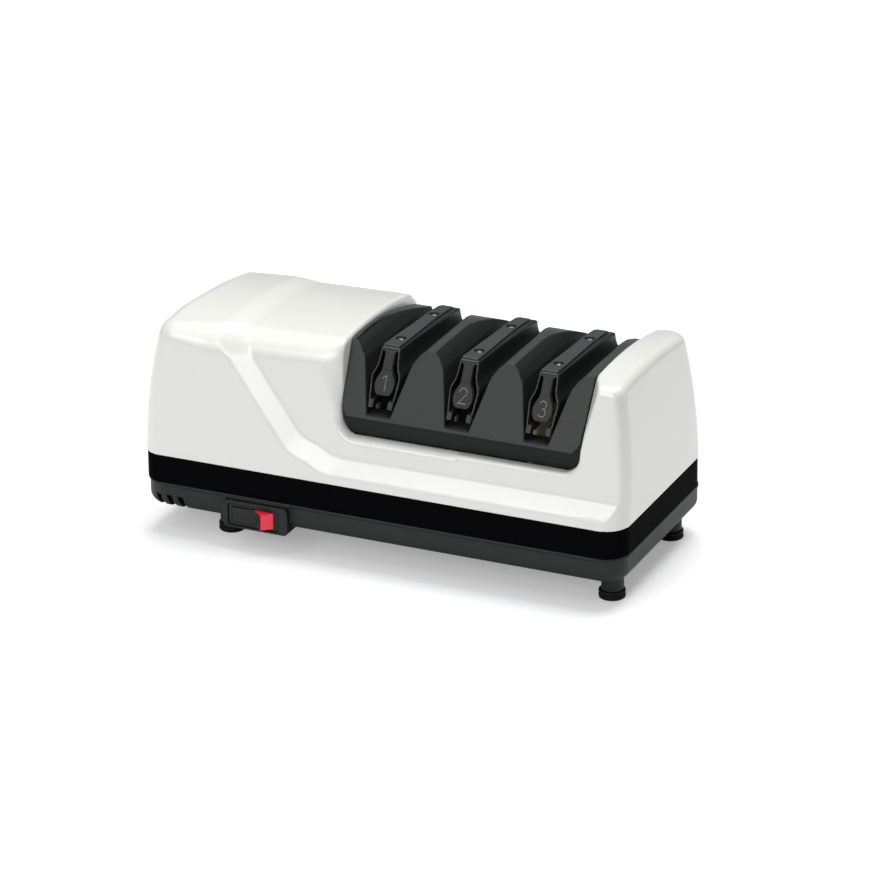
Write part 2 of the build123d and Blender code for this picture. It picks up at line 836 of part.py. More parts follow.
def guide_spring(x):
    """The spring that presses a blade against the ridges, cut out over the disks."""
    with BuildPart() as spring:
        with BuildSketch(front(insert_front)):
            add(arm_front_view(x))
        extrude(amount=-insert_depth)
        with BuildSketch(side(x - stage_pitch / 2)):
            add(arm_side_view())
        extrude(amount=stage_pitch, mode=Mode.INTERSECT)
        # the web over the rib
        with BuildSketch(side(x - arm_top_half + arm_thickness / 2)):
            add(strip_side_view(0, arm_thickness, arm_rear_y - 2 * shoulder))
        extrude(amount=2 * arm_top_half - arm_thickness)
        with BuildSketch(on_shaft(x - stage_pitch / 2)):
            Circle(disk_r + disk_room)
        extrude(amount=stage_pitch, mode=Mode.SUBTRACT)
        with BuildSketch(level(arm_foot_z)):
            with Locations((x, (post_front_y + bridge_rear_y) / 2)):
                Rectangle(2 * (post_half + fit), bridge_rear_y - post_front_y + 2 * fit)
        extrude(amount=arm_foot_tall + fit, mode=Mode.SUBTRACT)
        for y in clamp_screw_y:
            with BuildSketch(rib_seat(x, y)):
                Circle(clamp_screw_r + fit)
            extrude(amount=2 * arm_thickness, mode=Mode.SUBTRACT)
    return spring.part


clamp_top = arm_thickness + clamp_thickness


def guide_clamp(x):
    """The strip that holds the spring down on the rib."""
    with BuildPart() as clamp:
        with BuildSketch(side(x - clamp_half)):
            add(strip_side_view(arm_thickness, clamp_top, clamp_rear_y))
        extrude(amount=2 * clamp_half)
        for y in clamp_screw_y:
            with BuildSketch(rib_seat(x, y)):
                Circle(clamp_screw_r + fit)
            extrude(amount=2 * clamp_top, mode=Mode.SUBTRACT)
    return clamp.part


for number, x in enumerate(stage_x, start=1):
    for kind, make in (("bridge", guide_bridge), ("spring", guide_spring), ("clamp", guide_clamp)):
        piece = make(x)
        piece.label = f"guide_{kind}_{number}"
        export_step(piece, f"parts/{piece.label}.step")

with BuildPart() as clamp_screws:
    for x in stage_x:
        for y in clamp_screw_y:
            with BuildSketch(rib_seat(x, y).offset(clamp_top)):
                Circle(clamp_head_r)
            extrude(amount=clamp_head_tall)
            with BuildSketch(rib_seat(x, y).offset(clamp_top)):
                Circle(clamp_screw_r)
            extrude(amount=fit - clamp_screw_deep - clamp_top)
clamp_screws.part.label = "clamp_screws"
export_step(clamp_screws.part, "parts/clamp_screws.step")

# ================================================================ shaft and disks
with BuildPart() as drive_shaft:
    with BuildSketch(on_shaft(shaft_left)):
        Circle(shaft_r)
    extrude(amount=shaft_right - shaft_left)
    chamfer(drive_shaft.edges().filter_by(GeomType.CIRCLE), length=shaft_chamfer)
    with BuildSketch(level(shaft_z - shaft_r)):
        with Locations(*[(x + d, shaft_y) for x in stage_x for d in (-pin_offset, pin_offset)]):
            Circle(pin_r + seat)
    extrude(amount=2 * shaft_r, mode=Mode.SUBTRACT)
drive_shaft.part.label = "drive_shaft"
export_step(drive_shaft.part, "parts/drive_shaft.step")

with BuildPart() as drive_pins:
    with BuildSketch(level(shaft_z - pin_half)):
        with Locations(*[(x + d, shaft_y) for x in stage_x for d in (-pin_offset, pin_offset)]):
            Circle(pin_r)
    extrude(amount=2 * pin_half)
drive_pins.part.label = "drive_pins"
export_step(drive_pins.part, "parts/drive_pins.step")


def disk(x, hand, root_width):
    """One disk of a stage: hand is 1 on the right and -1 on the left of the centre x."""
    bore = shaft_r + running
    with BuildPart() as wheel:
        with BuildSketch(along_shaft(x)):
            with BuildLine():
                Polyline(
                    (hand * disk_inner, bore),
                    (hand * disk_inner, disk_r),
                    (hand * (disk_inner + rim_width), disk_r),
                    (hand * (disk_inner + root_width), cone_root_r),
                    (hand * (disk_inner + root_width), hub_r),
                    (hand * hub_end, hub_r),
                    (hand * hub_end, bore),
                    close=True,
                )
            make_face()
        revolve(axis=Axis((x, mid_y + shaft_y, shaft_z), (1, 0, 0)))
        # slot for the drive pin, long enough for the disk's travel
        slot = 2 * (pin_r + running) + disk_travel
        with BuildSketch(level(shaft_z - pin_half - fit)):
            with Locations((x + hand * (pin_offset + disk_travel / 2), shaft_y)):
                Rectangle(slot, 2 * (pin_r + running))
        extrude(amount=2 * (pin_half + fit), mode=Mode.SUBTRACT)
    return wheel.part


def disk_spring(x):
    """Coil spring between the two disks of a stage."""
    room = 2 * (disk_inner - spring_wire_r - running)
    path = Helix(
        pitch=room / spring_turns,
        height=room,
        radius=spring_coil_r,
        center=(x - room / 2, mid_y + shaft_y, shaft_z),
        direction=(1, 0, 0),
    )
    with BuildPart() as coil:
        with BuildSketch(Plane(origin=path @ 0, z_dir=path % 0)):
            RegularPolygon(spring_wire_r, spring_wire_sides)
        sweep(path=path, is_frenet=True)
    return coil.part


for number, x in enumerate(stage_x, start=1):
    root_width = hone_width if number == stage_count else cone_width
    for hand, word in ((-1, "left"), (1, "right")):
        piece = disk(x, hand, root_width)
        piece.label = f"disk_{number}_{word}"
        export_step(piece, f"parts/{piece.label}.step")
    piece = disk_spring(x)
    piece.label = f"disk_spring_{number}"
    export_step(piece, f"parts/{piece.label}.step")

# ================================================================ motor
leg_y = (window_rear + stack_rear) / 2
leg_half = (stack_rear - window_rear) / 2
with BuildPart() as motor_stack:
    with BuildSketch(side(stack_left)):
        with Locations(((stack_front + stack_rear) / 2, shaft_z)):
            RectangleRounded(stack_rear - stack_front, 2 * stack_half_height, coil_r)
        with Locations((shaft_y, shaft_z)):
            Circle(rotor_r + air_gap, mode=Mode.SUBTRACT)
        with Locations(((window_front + window_rear) / 2, shaft_z)):
            Rectangle(window_rear - window_front, 2 * window_half_height, mode=Mode.SUBTRACT)
        with Locations((shaft_y, shaft_z - bolt_offset), (shaft_y, shaft_z + bolt_offset)):
            Circle(bolt_r + fit, mode=Mode.SUBTRACT)
    extrude(amount=stack_length)
motor_stack.part.label = "motor_stack"
export_step(motor_stack.part, "parts/motor_stack.step")

core_half_x = stack_length / 2 + bobbin_wall
core_half_y = leg_half + bobbin_wall
bobbin_half = window_half_height - fit
with BuildPart() as coil_bobbin:
    with BuildSketch(level(shaft_z - bobbin_half)):
        with Locations((stack_x, leg_y)):
            Rectangle(2 * core_half_x, 2 * core_half_y)
    extrude(amount=2 * bobbin_half)
    with BuildSketch(level(shaft_z - bobbin_half), level(shaft_z + bobbin_half - bobbin_flange)):
        with Locations((stack_x, leg_y)):
            Rectangle(2 * (core_half_x + coil_build), 2 * (core_half_y + coil_build))
    extrude(amount=bobbin_flange)
    with BuildSketch(level(shaft_z - bobbin_half)):
        with Locations((stack_x, leg_y)):
            Rectangle(stack_length + 2 * seat, 2 * (leg_half + seat))
    extrude(amount=2 * bobbin_half, mode=Mode.SUBTRACT)
coil_bobbin.part.label = "coil_bobbin"
export_step(coil_bobbin.part, "parts/coil_bobbin.step")

with BuildPart() as motor_coil:
    with BuildSketch(level(shaft_z - bobbin_half + bobbin_flange)):
        with Locations((stack_x, leg_y)):
            RectangleRounded(
                2 * (core_half_x + coil_build - coil_inset),
                2 * (core_half_y + coil_build - coil_inset),
                coil_r,
            )
            Rectangle(2 * (core_half_x + seat), 2 * (core_half_y + seat), mode=Mode.SUBTRACT)
    extrude(amount=2 * (bobbin_half - bobbin_flange))
motor_coil.part.label = "motor_coil"
export_step(motor_coil.part, "parts/motor_coil.step")

with BuildPart() as motor_rotor:
    with BuildSketch(on_shaft(stack_left - end_ring)):
        Circle(rotor_r)
        Circle(shaft_r + seat, mode=Mode.SUBTRACT)
    extrude(amount=stack_length + 2 * end_ring)
    for x in (stack_left - end_ring, stack_right):
        with BuildSketch(on_shaft(x)):
            Circle(rotor_r - end_ring)
            Circle(bush_r, mode=Mode.SUBTRACT)
        extrude(amount=end_ring, mode=Mode.SUBTRACT)
motor_rotor.part.label = "motor_rotor"
export_step(motor_rotor.part, "parts/motor_rotor.step")


def motor_bracket(x, hand):
    """Bearing bracket on one end of the stack, whose end face lies at x; hand points outwards."""
    bar_x = x + hand * bracket_gap
    spots = ((0, -bolt_offset), (0, bolt_offset))
    with BuildPart() as bracket:
        with BuildSketch(on_shaft(bar_x)):
            SlotCenterToCenter(2 * bolt_offset, bracket_width, rotation=90)
            Circle(bracket_hub_r)
        extrude(amount=hand * bracket_bar)
        with BuildSketch(on_shaft(x)):
            with Locations(*spots):
                Circle(bolt_head_r)
        extrude(amount=hand * bracket_gap)
        with BuildSketch(on_shaft(bar_x + hand * bracket_bar)):
            Circle(bracket_hub_r)
        extrude(amount=hand * (bush_length - bracket_bar))
        with BuildSketch(on_shaft(bar_x)):
            Circle(bush_r + seat)
        extrude(amount=hand * bush_length, mode=Mode.SUBTRACT)
        with BuildSketch(on_shaft(x)):
            with Locations(*spots):
                Circle(bolt_r + fit)
        extrude(amount=hand * (bracket_gap + bracket_bar), mode=Mode.SUBTRACT)
    return bracket.part


for word, x, hand in (("left", stack_left, -1), ("right", stack_right, 1)):
    piece = motor_bracket(x, hand)
    piece.label = f"motor_bracket_{word}"
    export_step(piece, f"parts/{piece.label}.step")

bush_starts = {
    "left": stack_left - bracket_gap - bush_length,
    "middle": stack_right + bracket_gap,
    "end": end_bracket_x + end_bracket_plate - end_bush_length,
}
bush_lengths = {"left": bush_length, "middle": bush_length, "end": end_bush_length}
for word, x in bush_starts.items():
    with BuildPart() as bush:
        with BuildSketch(on_shaft(x)):
            Circle(bush_r)
            Circle(shaft_r + running, mode=Mode.SUBTRACT)
        extrude(amount=bush_lengths[word])
    bush.part.label = f"bush_{word}"
    export_step(bush.part, f"parts/{bush.part.label}.step")

bolt_from = stack_left - bracket_gap - bracket_bar
bolt_to = stack_right + bracket_gap + bracket_bar
with BuildPart() as motor_bolts:
    with BuildSketch(on_shaft(bolt_from)):
        with Locations((0, -bolt_offset), (0, bolt_offset)):
            Circle(bolt_r)
    extrude(amount=bolt_to - bolt_from)
    with BuildSketch(on_shaft(bolt_from)):
        with Locations((0, -bolt_offset), (0, bolt_offset)):
            Circle(bolt_head_r)
    extrude(amount=-bolt_head_tall)
    with BuildSketch(on_shaft(bolt_to)):
        with Locations((0, -bolt_offset), (0, bolt_offset)):
            RegularPolygon(bolt_head_r, 6)
    extrude(amount=bolt_head_tall)
motor_bolts.part.label = "motor_bolts"
export_step(motor_bolts.part, "parts/motor_bolts.step")

with BuildPart() as motor_pads:
    with BuildSketch(level(stack_bottom - pad_thickness)):
        with Locations(
            (stack_left + cradle_inset, cradle_y), (stack_right - cradle_inset, cradle_y)
        ):
            Rectangle(cradle_bar - 2 * fit, stack_rear - cradle_front - 2 * coil_r)
    extrude(amount=pad_thickness)
motor_pads.part.label = "motor_pads"
export_step(motor_pads.part, "parts/motor_pads.step")

with BuildPart() as cooling_fan:
    with BuildSketch(on_shaft(fan_x)):
        Circle(fan_hub_r)
    extrude(amount=fan_length)
    for i in range(fan_blades):
        turn = radians(i * 360 / fan_blades)
        spoke = Vector(0, cos(turn), sin(turn))
        middle = on_shaft(fan_x + fan_length / 2).origin
        with BuildSketch(Plane(middle + spoke * fan_root_r, x_dir=(1, 0, 0), z_dir=spoke)):
            Rectangle(fan_length, blade_thickness, rotation=blade_twist)
        extrude(amount=fan_r - fan_root_r)
    with BuildSketch(on_shaft(fan_x)):
        Circle(shaft_r + seat)
    extrude(amount=fan_length, mode=Mode.SUBTRACT)
cooling_fan.part.label = "cooling_fan"
export_step(cooling_fan.part, "parts/cooling_fan.step")

# ================================================================ end bracket
with BuildPart() as end_bracket:
    with BuildSketch(side(end_bracket_x)):
        with Locations((shaft_y, shaft_z)):
            Circle(bracket_hub_r)
        with Locations((shaft_y, (end_bracket_base + shaft_z) / 2)):
            Rectangle(2 * bracket_hub_r, shaft_z - end_bracket_base)
        with Locations((shaft_y, end_bracket_base + end_bracket_plate)):
            Rectangle(2 * end_bracket_half, 2 * end_bracket_plate)
    extrude(amount=end_bracket_plate)
    with BuildSketch(on_shaft(end_bracket_x + end_bracket_plate - end_bush_length)):
        Circle(bracket_hub_r)
    extrude(amount=end_bush_length)
    with BuildSketch(level(end_bracket_base)):
        with Locations((bracket_screw_x - end_bracket_plate / 2, shaft_y)):
            Rectangle(end_bracket_reach + end_bracket_plate, 2 * end_bracket_half)
    extrude(amount=end_bracket_plate)
    with BuildSketch(on_shaft(end_bracket_x + end_bracket_plate - end_bush_length)):
        Circle(bush_r + seat)
    extrude(amount=end_bush_length, mode=Mode.SUBTRACT)
    with BuildSketch(level(end_bracket_base)):
        with Locations(*bracket_spots):
            Circle(screw_r + fit)
    extrude(amount=end_bracket_plate, mode=Mode.SUBTRACT)
end_bracket.part.label = "end_bracket"
export_step(end_bracket.part, "parts/end_bracket.step")

with BuildPart() as bracket_screws:
    with BuildSketch(level(end_bracket_base + end_bracket_plate)):
        with Locations(*bracket_spots):
            Circle(screw_head_r)
    extrude(amount=screw_head_tall)
    with BuildSketch(level(end_bracket_base - end_screw_deep + fit)):
        with Locations(*bracket_spots):
            Circle(screw_r)
    extrude(amount=end_screw_deep - fit + end_bracket_plate)
bracket_screws.part.label = "bracket_screws"
export_step(bracket_screws.part, "parts/bracket_screws.step")

with BuildPart() as housing_screws:
    with BuildSketch(level(screw_seat - screw_head_tall)):
        with Locations(*screw_spots):
            Circle(screw_head_r)
    extrude(amount=screw_head_tall)
    with BuildSketch(level(screw_seat)):
        with Locations(*screw_spots):
            Circle(screw_r)
    extrude(amount=screw_top - fit - screw_seat)
housing_screws.part.label = "housing_screws"
export_step(housing_screws.part, "parts/housing_screws.step")

# ================================================================ switch
with BuildPart() as switch_body:
    with BuildSketch(front(boss_face)):
        with Locations((rocker_x, rocker_z)):
            RectangleRounded(switch_width, switch_tall, switch_edge_r)
    extrude(amount=-switch_depth)
    with BuildSketch(front(boss_face)):
        with Locations((rocker_x, rocker_z)):
            RectangleRounded(rocker_length, rocker_tall, rocker_gap)
    extrude(amount=-rocker_well, mode=Mode.SUBTRACT)
    with BuildSketch(level(rocker_z - rocker_tall / 2 - rocker_pin_long)):
        with Locations((rocker_x, boss_face + rocker_pivot_deep)):
            Circle(rocker_pin_r + running)
        with Locations((rocker_x, boss_face)):
            Rectangle(2 * (rocker_pin_r + running), 2 * rocker_pivot_deep)
    extrude(amount=rocker_tall + 2 * rocker_pin_long, mode=Mode.SUBTRACT)
switch_body.part.label = "switch_body"
export_step(switch_body.part, "parts/switch_body.step")

with BuildPart() as switch_rocker:
    rocker_r = rocker_length / 2 - rocker_gap
    pivot_y = boss_face + rocker_pivot_deep
    with BuildSketch(level(rocker_z - rocker_tall / 2 + rocker_gap)):
        with BuildLine():
            face = Polyline(
                (rocker_x - rocker_r, pivot_y),
                (rocker_x - rocker_r + rocker_gap, boss_face),
                (rocker_x + rocker_v, boss_face),
                (rocker_x + rocker_tip, boss_face - rocker_rise),
                (rocker_x + rocker_r - rocker_gap, boss_face),
                (rocker_x + rocker_r, pivot_y),
            )
            ThreePointArc(face @ 1, (rocker_x, pivot_y + rocker_body_deep), face @ 0)
        make_face()
    extrude(amount=rocker_tall - 2 * rocker_gap)
    with BuildSketch(level(rocker_z - rocker_tall / 2 - rocker_pin_long + rocker_gap)):
        with Locations((rocker_x, pivot_y)):
            Circle(rocker_pin_r)
    extrude(amount=rocker_tall + 2 * rocker_pin_long - 2 * rocker_gap)
switch_rocker.part.label = "switch_rocker"
export_step(switch_rocker.part, "parts/switch_rocker.step")

with BuildPart() as switch_terminals:
    with BuildSketch(front(boss_face + switch_depth)):
        with Locations(
            (rocker_x - terminal_gap / 2, rocker_z), (rocker_x + terminal_gap / 2, rocker_z)
        ):
            Rectangle(terminal_thick, terminal_width)
    extrude(amount=-terminal_long)
switch_terminals.part.label = "switch_terminals"
export_step(switch_terminals.part, "parts/switch_terminals.step")

# ================================================================ feet, gland
foot_words = ("left_front", "left_rear", "right_front", "right_rear")
for word, spot in zip(foot_words, foot_spots):
    with BuildPart() as foot:
        with BuildSketch(level(0)):
            with Locations(spot):
                Circle(foot_r)
        extrude(amount=foot_pad)
        fillet(foot.faces().sort_by(Axis.Z)[0].edges(), radius=foot_groove)
        with BuildSketch(level(foot_pad / 2)):
            with Locations(spot):
                Circle(foot_r)
                Circle(foot_r - foot_groove, mode=Mode.SUBTRACT)
        extrude(amount=foot_groove, mode=Mode.SUBTRACT)
        with BuildSketch(level(foot_pad)):
            with Locations(spot):
                Circle(foot_stem_r)
        extrude(amount=foot_stem)
    foot.part.label = f"foot_{word}"
    export_step(foot.part, f"parts/{foot.part.label}.step")

with BuildPart() as cord_gland:
    with BuildSketch(front(body_depth / 2 + gland_proud)):
        with Locations((gland_x, gland_z)):
            Circle(gland_r + gland_wall + gland_flange)
    extrude(amount=gland_proud + lip_proud)
    with BuildSketch(front(body_depth / 2 + gland_proud)):
        with Locations((gland_x, gland_z)):
            Circle(gland_r + gland_wall)
    extrude(amount=gland_proud + gland_long)
    with BuildSketch(front(body_depth / 2 + gland_proud)):
        with Locations((gland_x, gland_z)):
            Circle(gland_r)
    extrude(amount=gland_proud + gland_long, mode=Mode.SUBTRACT)
cord_gland.part.label = "cord_gland"
export_step(cord_gland.part, "parts/cord_gland.step")

# ================================================================ clean-out hatch
with BuildPart() as cleanout_hatch:
    with BuildSketch(level(foot_height)):
        with Locations((hatch_x, hatch_y)):
            Rectangle(hatch_length, hatch_depth)
    extrude(amount=floor)
    rear_edge = hatch_front + hatch_depth
    with BuildSketch(level(hinge_z)):
        with Locations((hatch_x, rear_edge - hinge_strip / 2)):
            Rectangle(knuckle_spots[1] - knuckle_spots[0] + knuckle, hinge_strip)
    extrude(amount=hinge_drop)
    for knuckle_x in knuckle_spots:
        with BuildSketch(side(knuckle_x - knuckle / 2)):
            with Locations((hinge_y, hinge_z)):
                Circle(hinge_r)
            with Locations(((hinge_y + rear_edge) / 2, hinge_z)):
                Rectangle(hinge_y - rear_edge, hinge_r)
            with Locations((hinge_y, hinge_z)):
                Circle(hinge_pin_r + running, mode=Mode.SUBTRACT)
        extrude(amount=knuckle)
cleanout_hatch.part.label = "cleanout_hatch"
export_step(cleanout_hatch.part, "parts/cleanout_hatch.step")

with BuildPart() as hatch_pin:
    with BuildSketch(side(lug_spots[0] - knuckle / 2)):
        with Locations((hinge_y, hinge_z)):
            Circle(hinge_pin_r)
    extrude(amount=lug_spots[-1] - lug_spots[0] + knuckle)
hatch_pin.part.label = "hatch_pin"
export_step(hatch_pin.part, "parts/hatch_pin.step")

with BuildPart() as filings_magnet:
    with BuildSketch(level(floor_top)):
        with Locations((hatch_x, hatch_y)):
            Rectangle(magnet_length, magnet_width)
    extrude(amount=magnet_thick)
    chamfer(filings_magnet.faces().sort_by(Axis.Z)[-1].edges(), length=magnet_chamfer)
filings_magnet.part.label = "filings_magnet"
export_step(filings_magnet.part, "parts/filings_magnet.step")

# ================================================================ dressing lever
pad_rear = shaft_y + disk_r + pad_gap + pad_deep
with BuildPart() as dressing_lever:
    with BuildSketch(level(lever_z - lever_hub_tall / 2)):
        with Locations((lever_x, lever_y)):
            Circle(lever_hub_r)
        with Locations((lever_x, lever_y + lever_tab / 2)):
            Rectangle(lever_arm, lever_tab)
        with Locations((lever_x, (lever_y + pad_rear) / 2)):
            Rectangle(lever_arm, lever_y - pad_rear)
    extrude(amount=lever_hub_tall)
    with BuildSketch(level(lever_z - lever_hub_tall / 2)):
        with Locations((lever_x, pad_rear + lever_arm / 2)):
            Rectangle(lever_arm, lever_arm)
    extrude(amount=shaft_z + pad_tall / 2 - lever_z + lever_hub_tall / 2)
    with BuildSketch(level(lever_z - lever_hub_tall / 2)):
        with Locations((lever_x, lever_y)):
            Circle(lever_pin_r + running)
    extrude(amount=lever_hub_tall, mode=Mode.SUBTRACT)
dressing_lever.part.label = "dressing_lever"
export_step(dressing_lever.part, "parts/dressing_lever.step")

with BuildPart() as dressing_pad:
    with BuildSketch(level(shaft_z - pad_tall / 2)):
        with Locations((lever_x, pad_rear - pad_deep / 2)):
            Rectangle(pad_width, pad_deep)
    extrude(amount=pad_tall)
dressing_pad.part.label = "dressing_pad"
export_step(dressing_pad.part, "parts/dressing_pad.step")

with BuildPart() as lever_pin:
    with BuildSketch(level(lever_post_top - lever_pin_deep + fit)):
        with Locations((lever_x, lever_y)):
            Circle(lever_pin_r)
    extrude(amount=lever_pin_deep + lever_hub_tall + fit)
    with BuildSketch(level(lever_z + lever_hub_tall / 2 + fit)):
        with Locations((lever_x, lever_y)):
            Circle(lever_pin_r + running + fit)
    extrude(amount=lever_pin_r)
lever_pin.part.label = "lever_pin"
export_step(lever_pin.part, "parts/lever_pin.step")

with BuildPart() as lever_bezel:
    rear_wall = body_depth / 2 - band_inset
    with BuildSketch(front(rear_wall)):
        with Locations((lever_x, lever_z)):
            RectangleRounded(bezel_width - 2 * seat, bezel_tall - 2 * seat, bezel_edge_r)
    extrude(amount=bezel_deep)
    with BuildSketch(front(rear_wall)):
        with Locations((lever_x, lever_z)):
            RectangleRounded(
                bezel_width - 2 * bezel_wall, bezel_tall - 2 * bezel_wall, bezel_edge_r - bezel_wall
            )
    extrude(amount=bezel_deep - bezel_wall, mode=Mode.SUBTRACT)
    with BuildSketch(front(rear_wall)):
        with Locations((lever_x, lever_z)):
            Rectangle(lever_slot, lever_hub_tall + 2 * fit)
    extrude(amount=bezel_deep, mode=Mode.SUBTRACT)
lever_bezel.part.label = "lever_bezel"
export_step(lever_bezel.part, "parts/lever_bezel.step")
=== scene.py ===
"""Looks of the electric knife sharpener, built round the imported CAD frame.

Lengths are in millimetres until a mesh is made. X runs to the right, Z up from the table, and Y to
the back from the middle of the housing, which lies MID_Y behind the frame's origin.
Moulded pieces are distance fields (negative inside) that mold() turns into smooth meshes. Where a
field is multiplied by a factor just under 1, that keeps the distance to a slanted face true.
"""
from math import cos, radians, sin, tan

import bpy
import numpy as np
from mathutils import Matrix, Vector


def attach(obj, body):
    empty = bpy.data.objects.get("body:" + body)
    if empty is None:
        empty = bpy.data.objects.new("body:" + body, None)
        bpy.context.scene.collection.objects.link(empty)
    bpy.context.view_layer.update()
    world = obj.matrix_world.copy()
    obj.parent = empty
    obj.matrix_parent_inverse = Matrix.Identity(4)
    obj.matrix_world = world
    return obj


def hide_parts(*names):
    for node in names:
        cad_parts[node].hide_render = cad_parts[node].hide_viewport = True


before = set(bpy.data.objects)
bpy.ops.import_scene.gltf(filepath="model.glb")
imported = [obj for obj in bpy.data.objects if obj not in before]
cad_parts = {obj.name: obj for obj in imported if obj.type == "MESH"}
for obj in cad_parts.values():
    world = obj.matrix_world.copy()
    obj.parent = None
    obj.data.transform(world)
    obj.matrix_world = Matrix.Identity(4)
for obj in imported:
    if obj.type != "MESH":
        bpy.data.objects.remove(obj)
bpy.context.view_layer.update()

MM = 0.001
MID_Y = 2.7
BODY_LENGTH = 254.0
BODY_DEPTH = 110.0
CORNER_LEFT_R = 10.0
CORNER_RIGHT_R = 12.5
WALL = 2.6
TRAY_BOTTOM = 13.2
TRAY_TOP = 26.5
BAND_TOP = 40.8
ROOF_Z = 112.3                  # where the roof's bow would reach over the recess
INSERT_LEDGE = 76.6             # floor of the slots
STAGES = (-2.1, 38.9, 79.9)     # middles of the slots
SHAFT_Y = -17.0
SHAFT_Z = 60.0
DISK_ROOM = 25.6                # radius kept free round the disks
FINE_R = 0.3                    # edges of small features

# ---------------------------------------------------------------- camera
CAM_AZIMUTH = radians(24.596)
CAM_ELEVATION = radians(23.228)
CAM_ROLL = radians(-0.664)
CAM_DISTANCE = 2345.689
CAM_FOCAL_PX = 4820.162
CAM_TARGET = Vector((6.697, MID_Y, 50.427))
PHOTO_PX = 870
SENSOR = 36.0


def add_camera():
    """Camera fitted to the photo, looking at CAM_TARGET."""
    back = Vector((
        sin(CAM_AZIMUTH) * cos(CAM_ELEVATION),
        -cos(CAM_AZIMUTH) * cos(CAM_ELEVATION),
        sin(CAM_ELEVATION),
    ))
    right = (-back).cross(Vector((0, 0, 1))).normalized()
    up = right.cross(-back)
    right, up = (
        right * cos(CAM_ROLL) + up * sin(CAM_ROLL),
        up * cos(CAM_ROLL) - right * sin(CAM_ROLL),
    )
    place = (CAM_TARGET + back * CAM_DISTANCE) * MM
    data = bpy.data.cameras.new("camera")
    data.sensor_width = SENSOR
    data.lens = CAM_FOCAL_PX / PHOTO_PX * SENSOR
    data.clip_start = 0.1
    data.clip_end = 20
    camera = bpy.data.objects.new("camera", data)
    turn = Matrix((right, up, back)).transposed().to_4x4()
    camera.matrix_world = Matrix.Translation(place) @ turn
    bpy.context.scene.collection.objects.link(camera)
    bpy.context.scene.camera = camera


add_camera()


# ---------------------------------------------------------------- distance fields
def both(a, b, r=0.0):
    """Where a and b overlap, with the outer edge rounded by r."""
    return np.minimum(-r, np.maximum(a, b)) + np.hypot(
        np.maximum(a + r, 0), np.maximum(b + r, 0)
    )


def either(a, b, r=0.0):
    """a and b together, with a fillet of radius r where they meet."""
    return np.maximum(r, np.minimum(a, b)) - np.hypot(
        np.maximum(r - a, 0), np.maximum(r - b, 0)
    )


def less(a, b, r=0.0):
    """a without b, with the edge rounded by r."""
    return both(a, -b, r)


def rectangle(u, v, half_u, half_v, r):
    """Rounded rectangle about the origin of u and v."""
    p, q = abs(u) - half_u + r, abs(v) - half_v + r
    return np.hypot(np.maximum(p, 0), np.maximum(q, 0)) + np.minimum(np.maximum(p, q), 0) - r


def slab(w, low, high):
    """Everything with w between low and high."""
    return np.maximum(low - w, w - high)


def box(x, y, z, low, high, r=0.0):
    """Box between two corners, its edges rounded by r."""
    d = [abs(w - (a + b) / 2) - (b - a) / 2 + r for w, a, b in zip((x, y, z), low, high)]
    outside = np.sqrt(sum(np.maximum(c, 0) ** 2 for c in d))
    return outside + np.minimum(np.maximum(np.maximum(d[0], d[1]), d[2]), 0) - r


def stroke(u, v, a, b):
    """Distance to the straight stroke from a to b."""
    du, dv = b[0] - a[0], b[1] - a[1]
    t = np.clip(((u - a[0]) * du + (v - a[1]) * dv) / (du * du + dv * dv), 0, 1)
    return np.hypot(u - a[0] - t * du, v - a[1] - t * dv)


def blend(w, start, end):
    """Eased share that goes from 0 where w is start to 1 where it is end."""
    t = np.clip((w - start) / (end - start), 0, 1)
    return t * t * (3 - 2 * t)


def ramp(t, soft=0.15):
    """Straight rise from 0 to 1 with softly bent ends."""
    knee = [
        np.where(abs(u) < soft, (u + soft) ** 2 / (4 * soft), np.maximum(u, 0))
        for u in (t, t - 1)
    ]
    return knee[0] - knee[1]


# ---------------------------------------------------------------- meshes
CORNERS = [(a, b, c) for a in (0, 1) for b in (0, 1) for c in (0, 1)]
EDGES = [
    (i, j) for i, p in enumerate(CORNERS) for j, q in enumerate(CORNERS)
    if i < j and sum(abs(m - n) for m, n in zip(p, q)) == 1
]
SLOPE_PARTS = 8     # a slope is measured over a cell divided by this


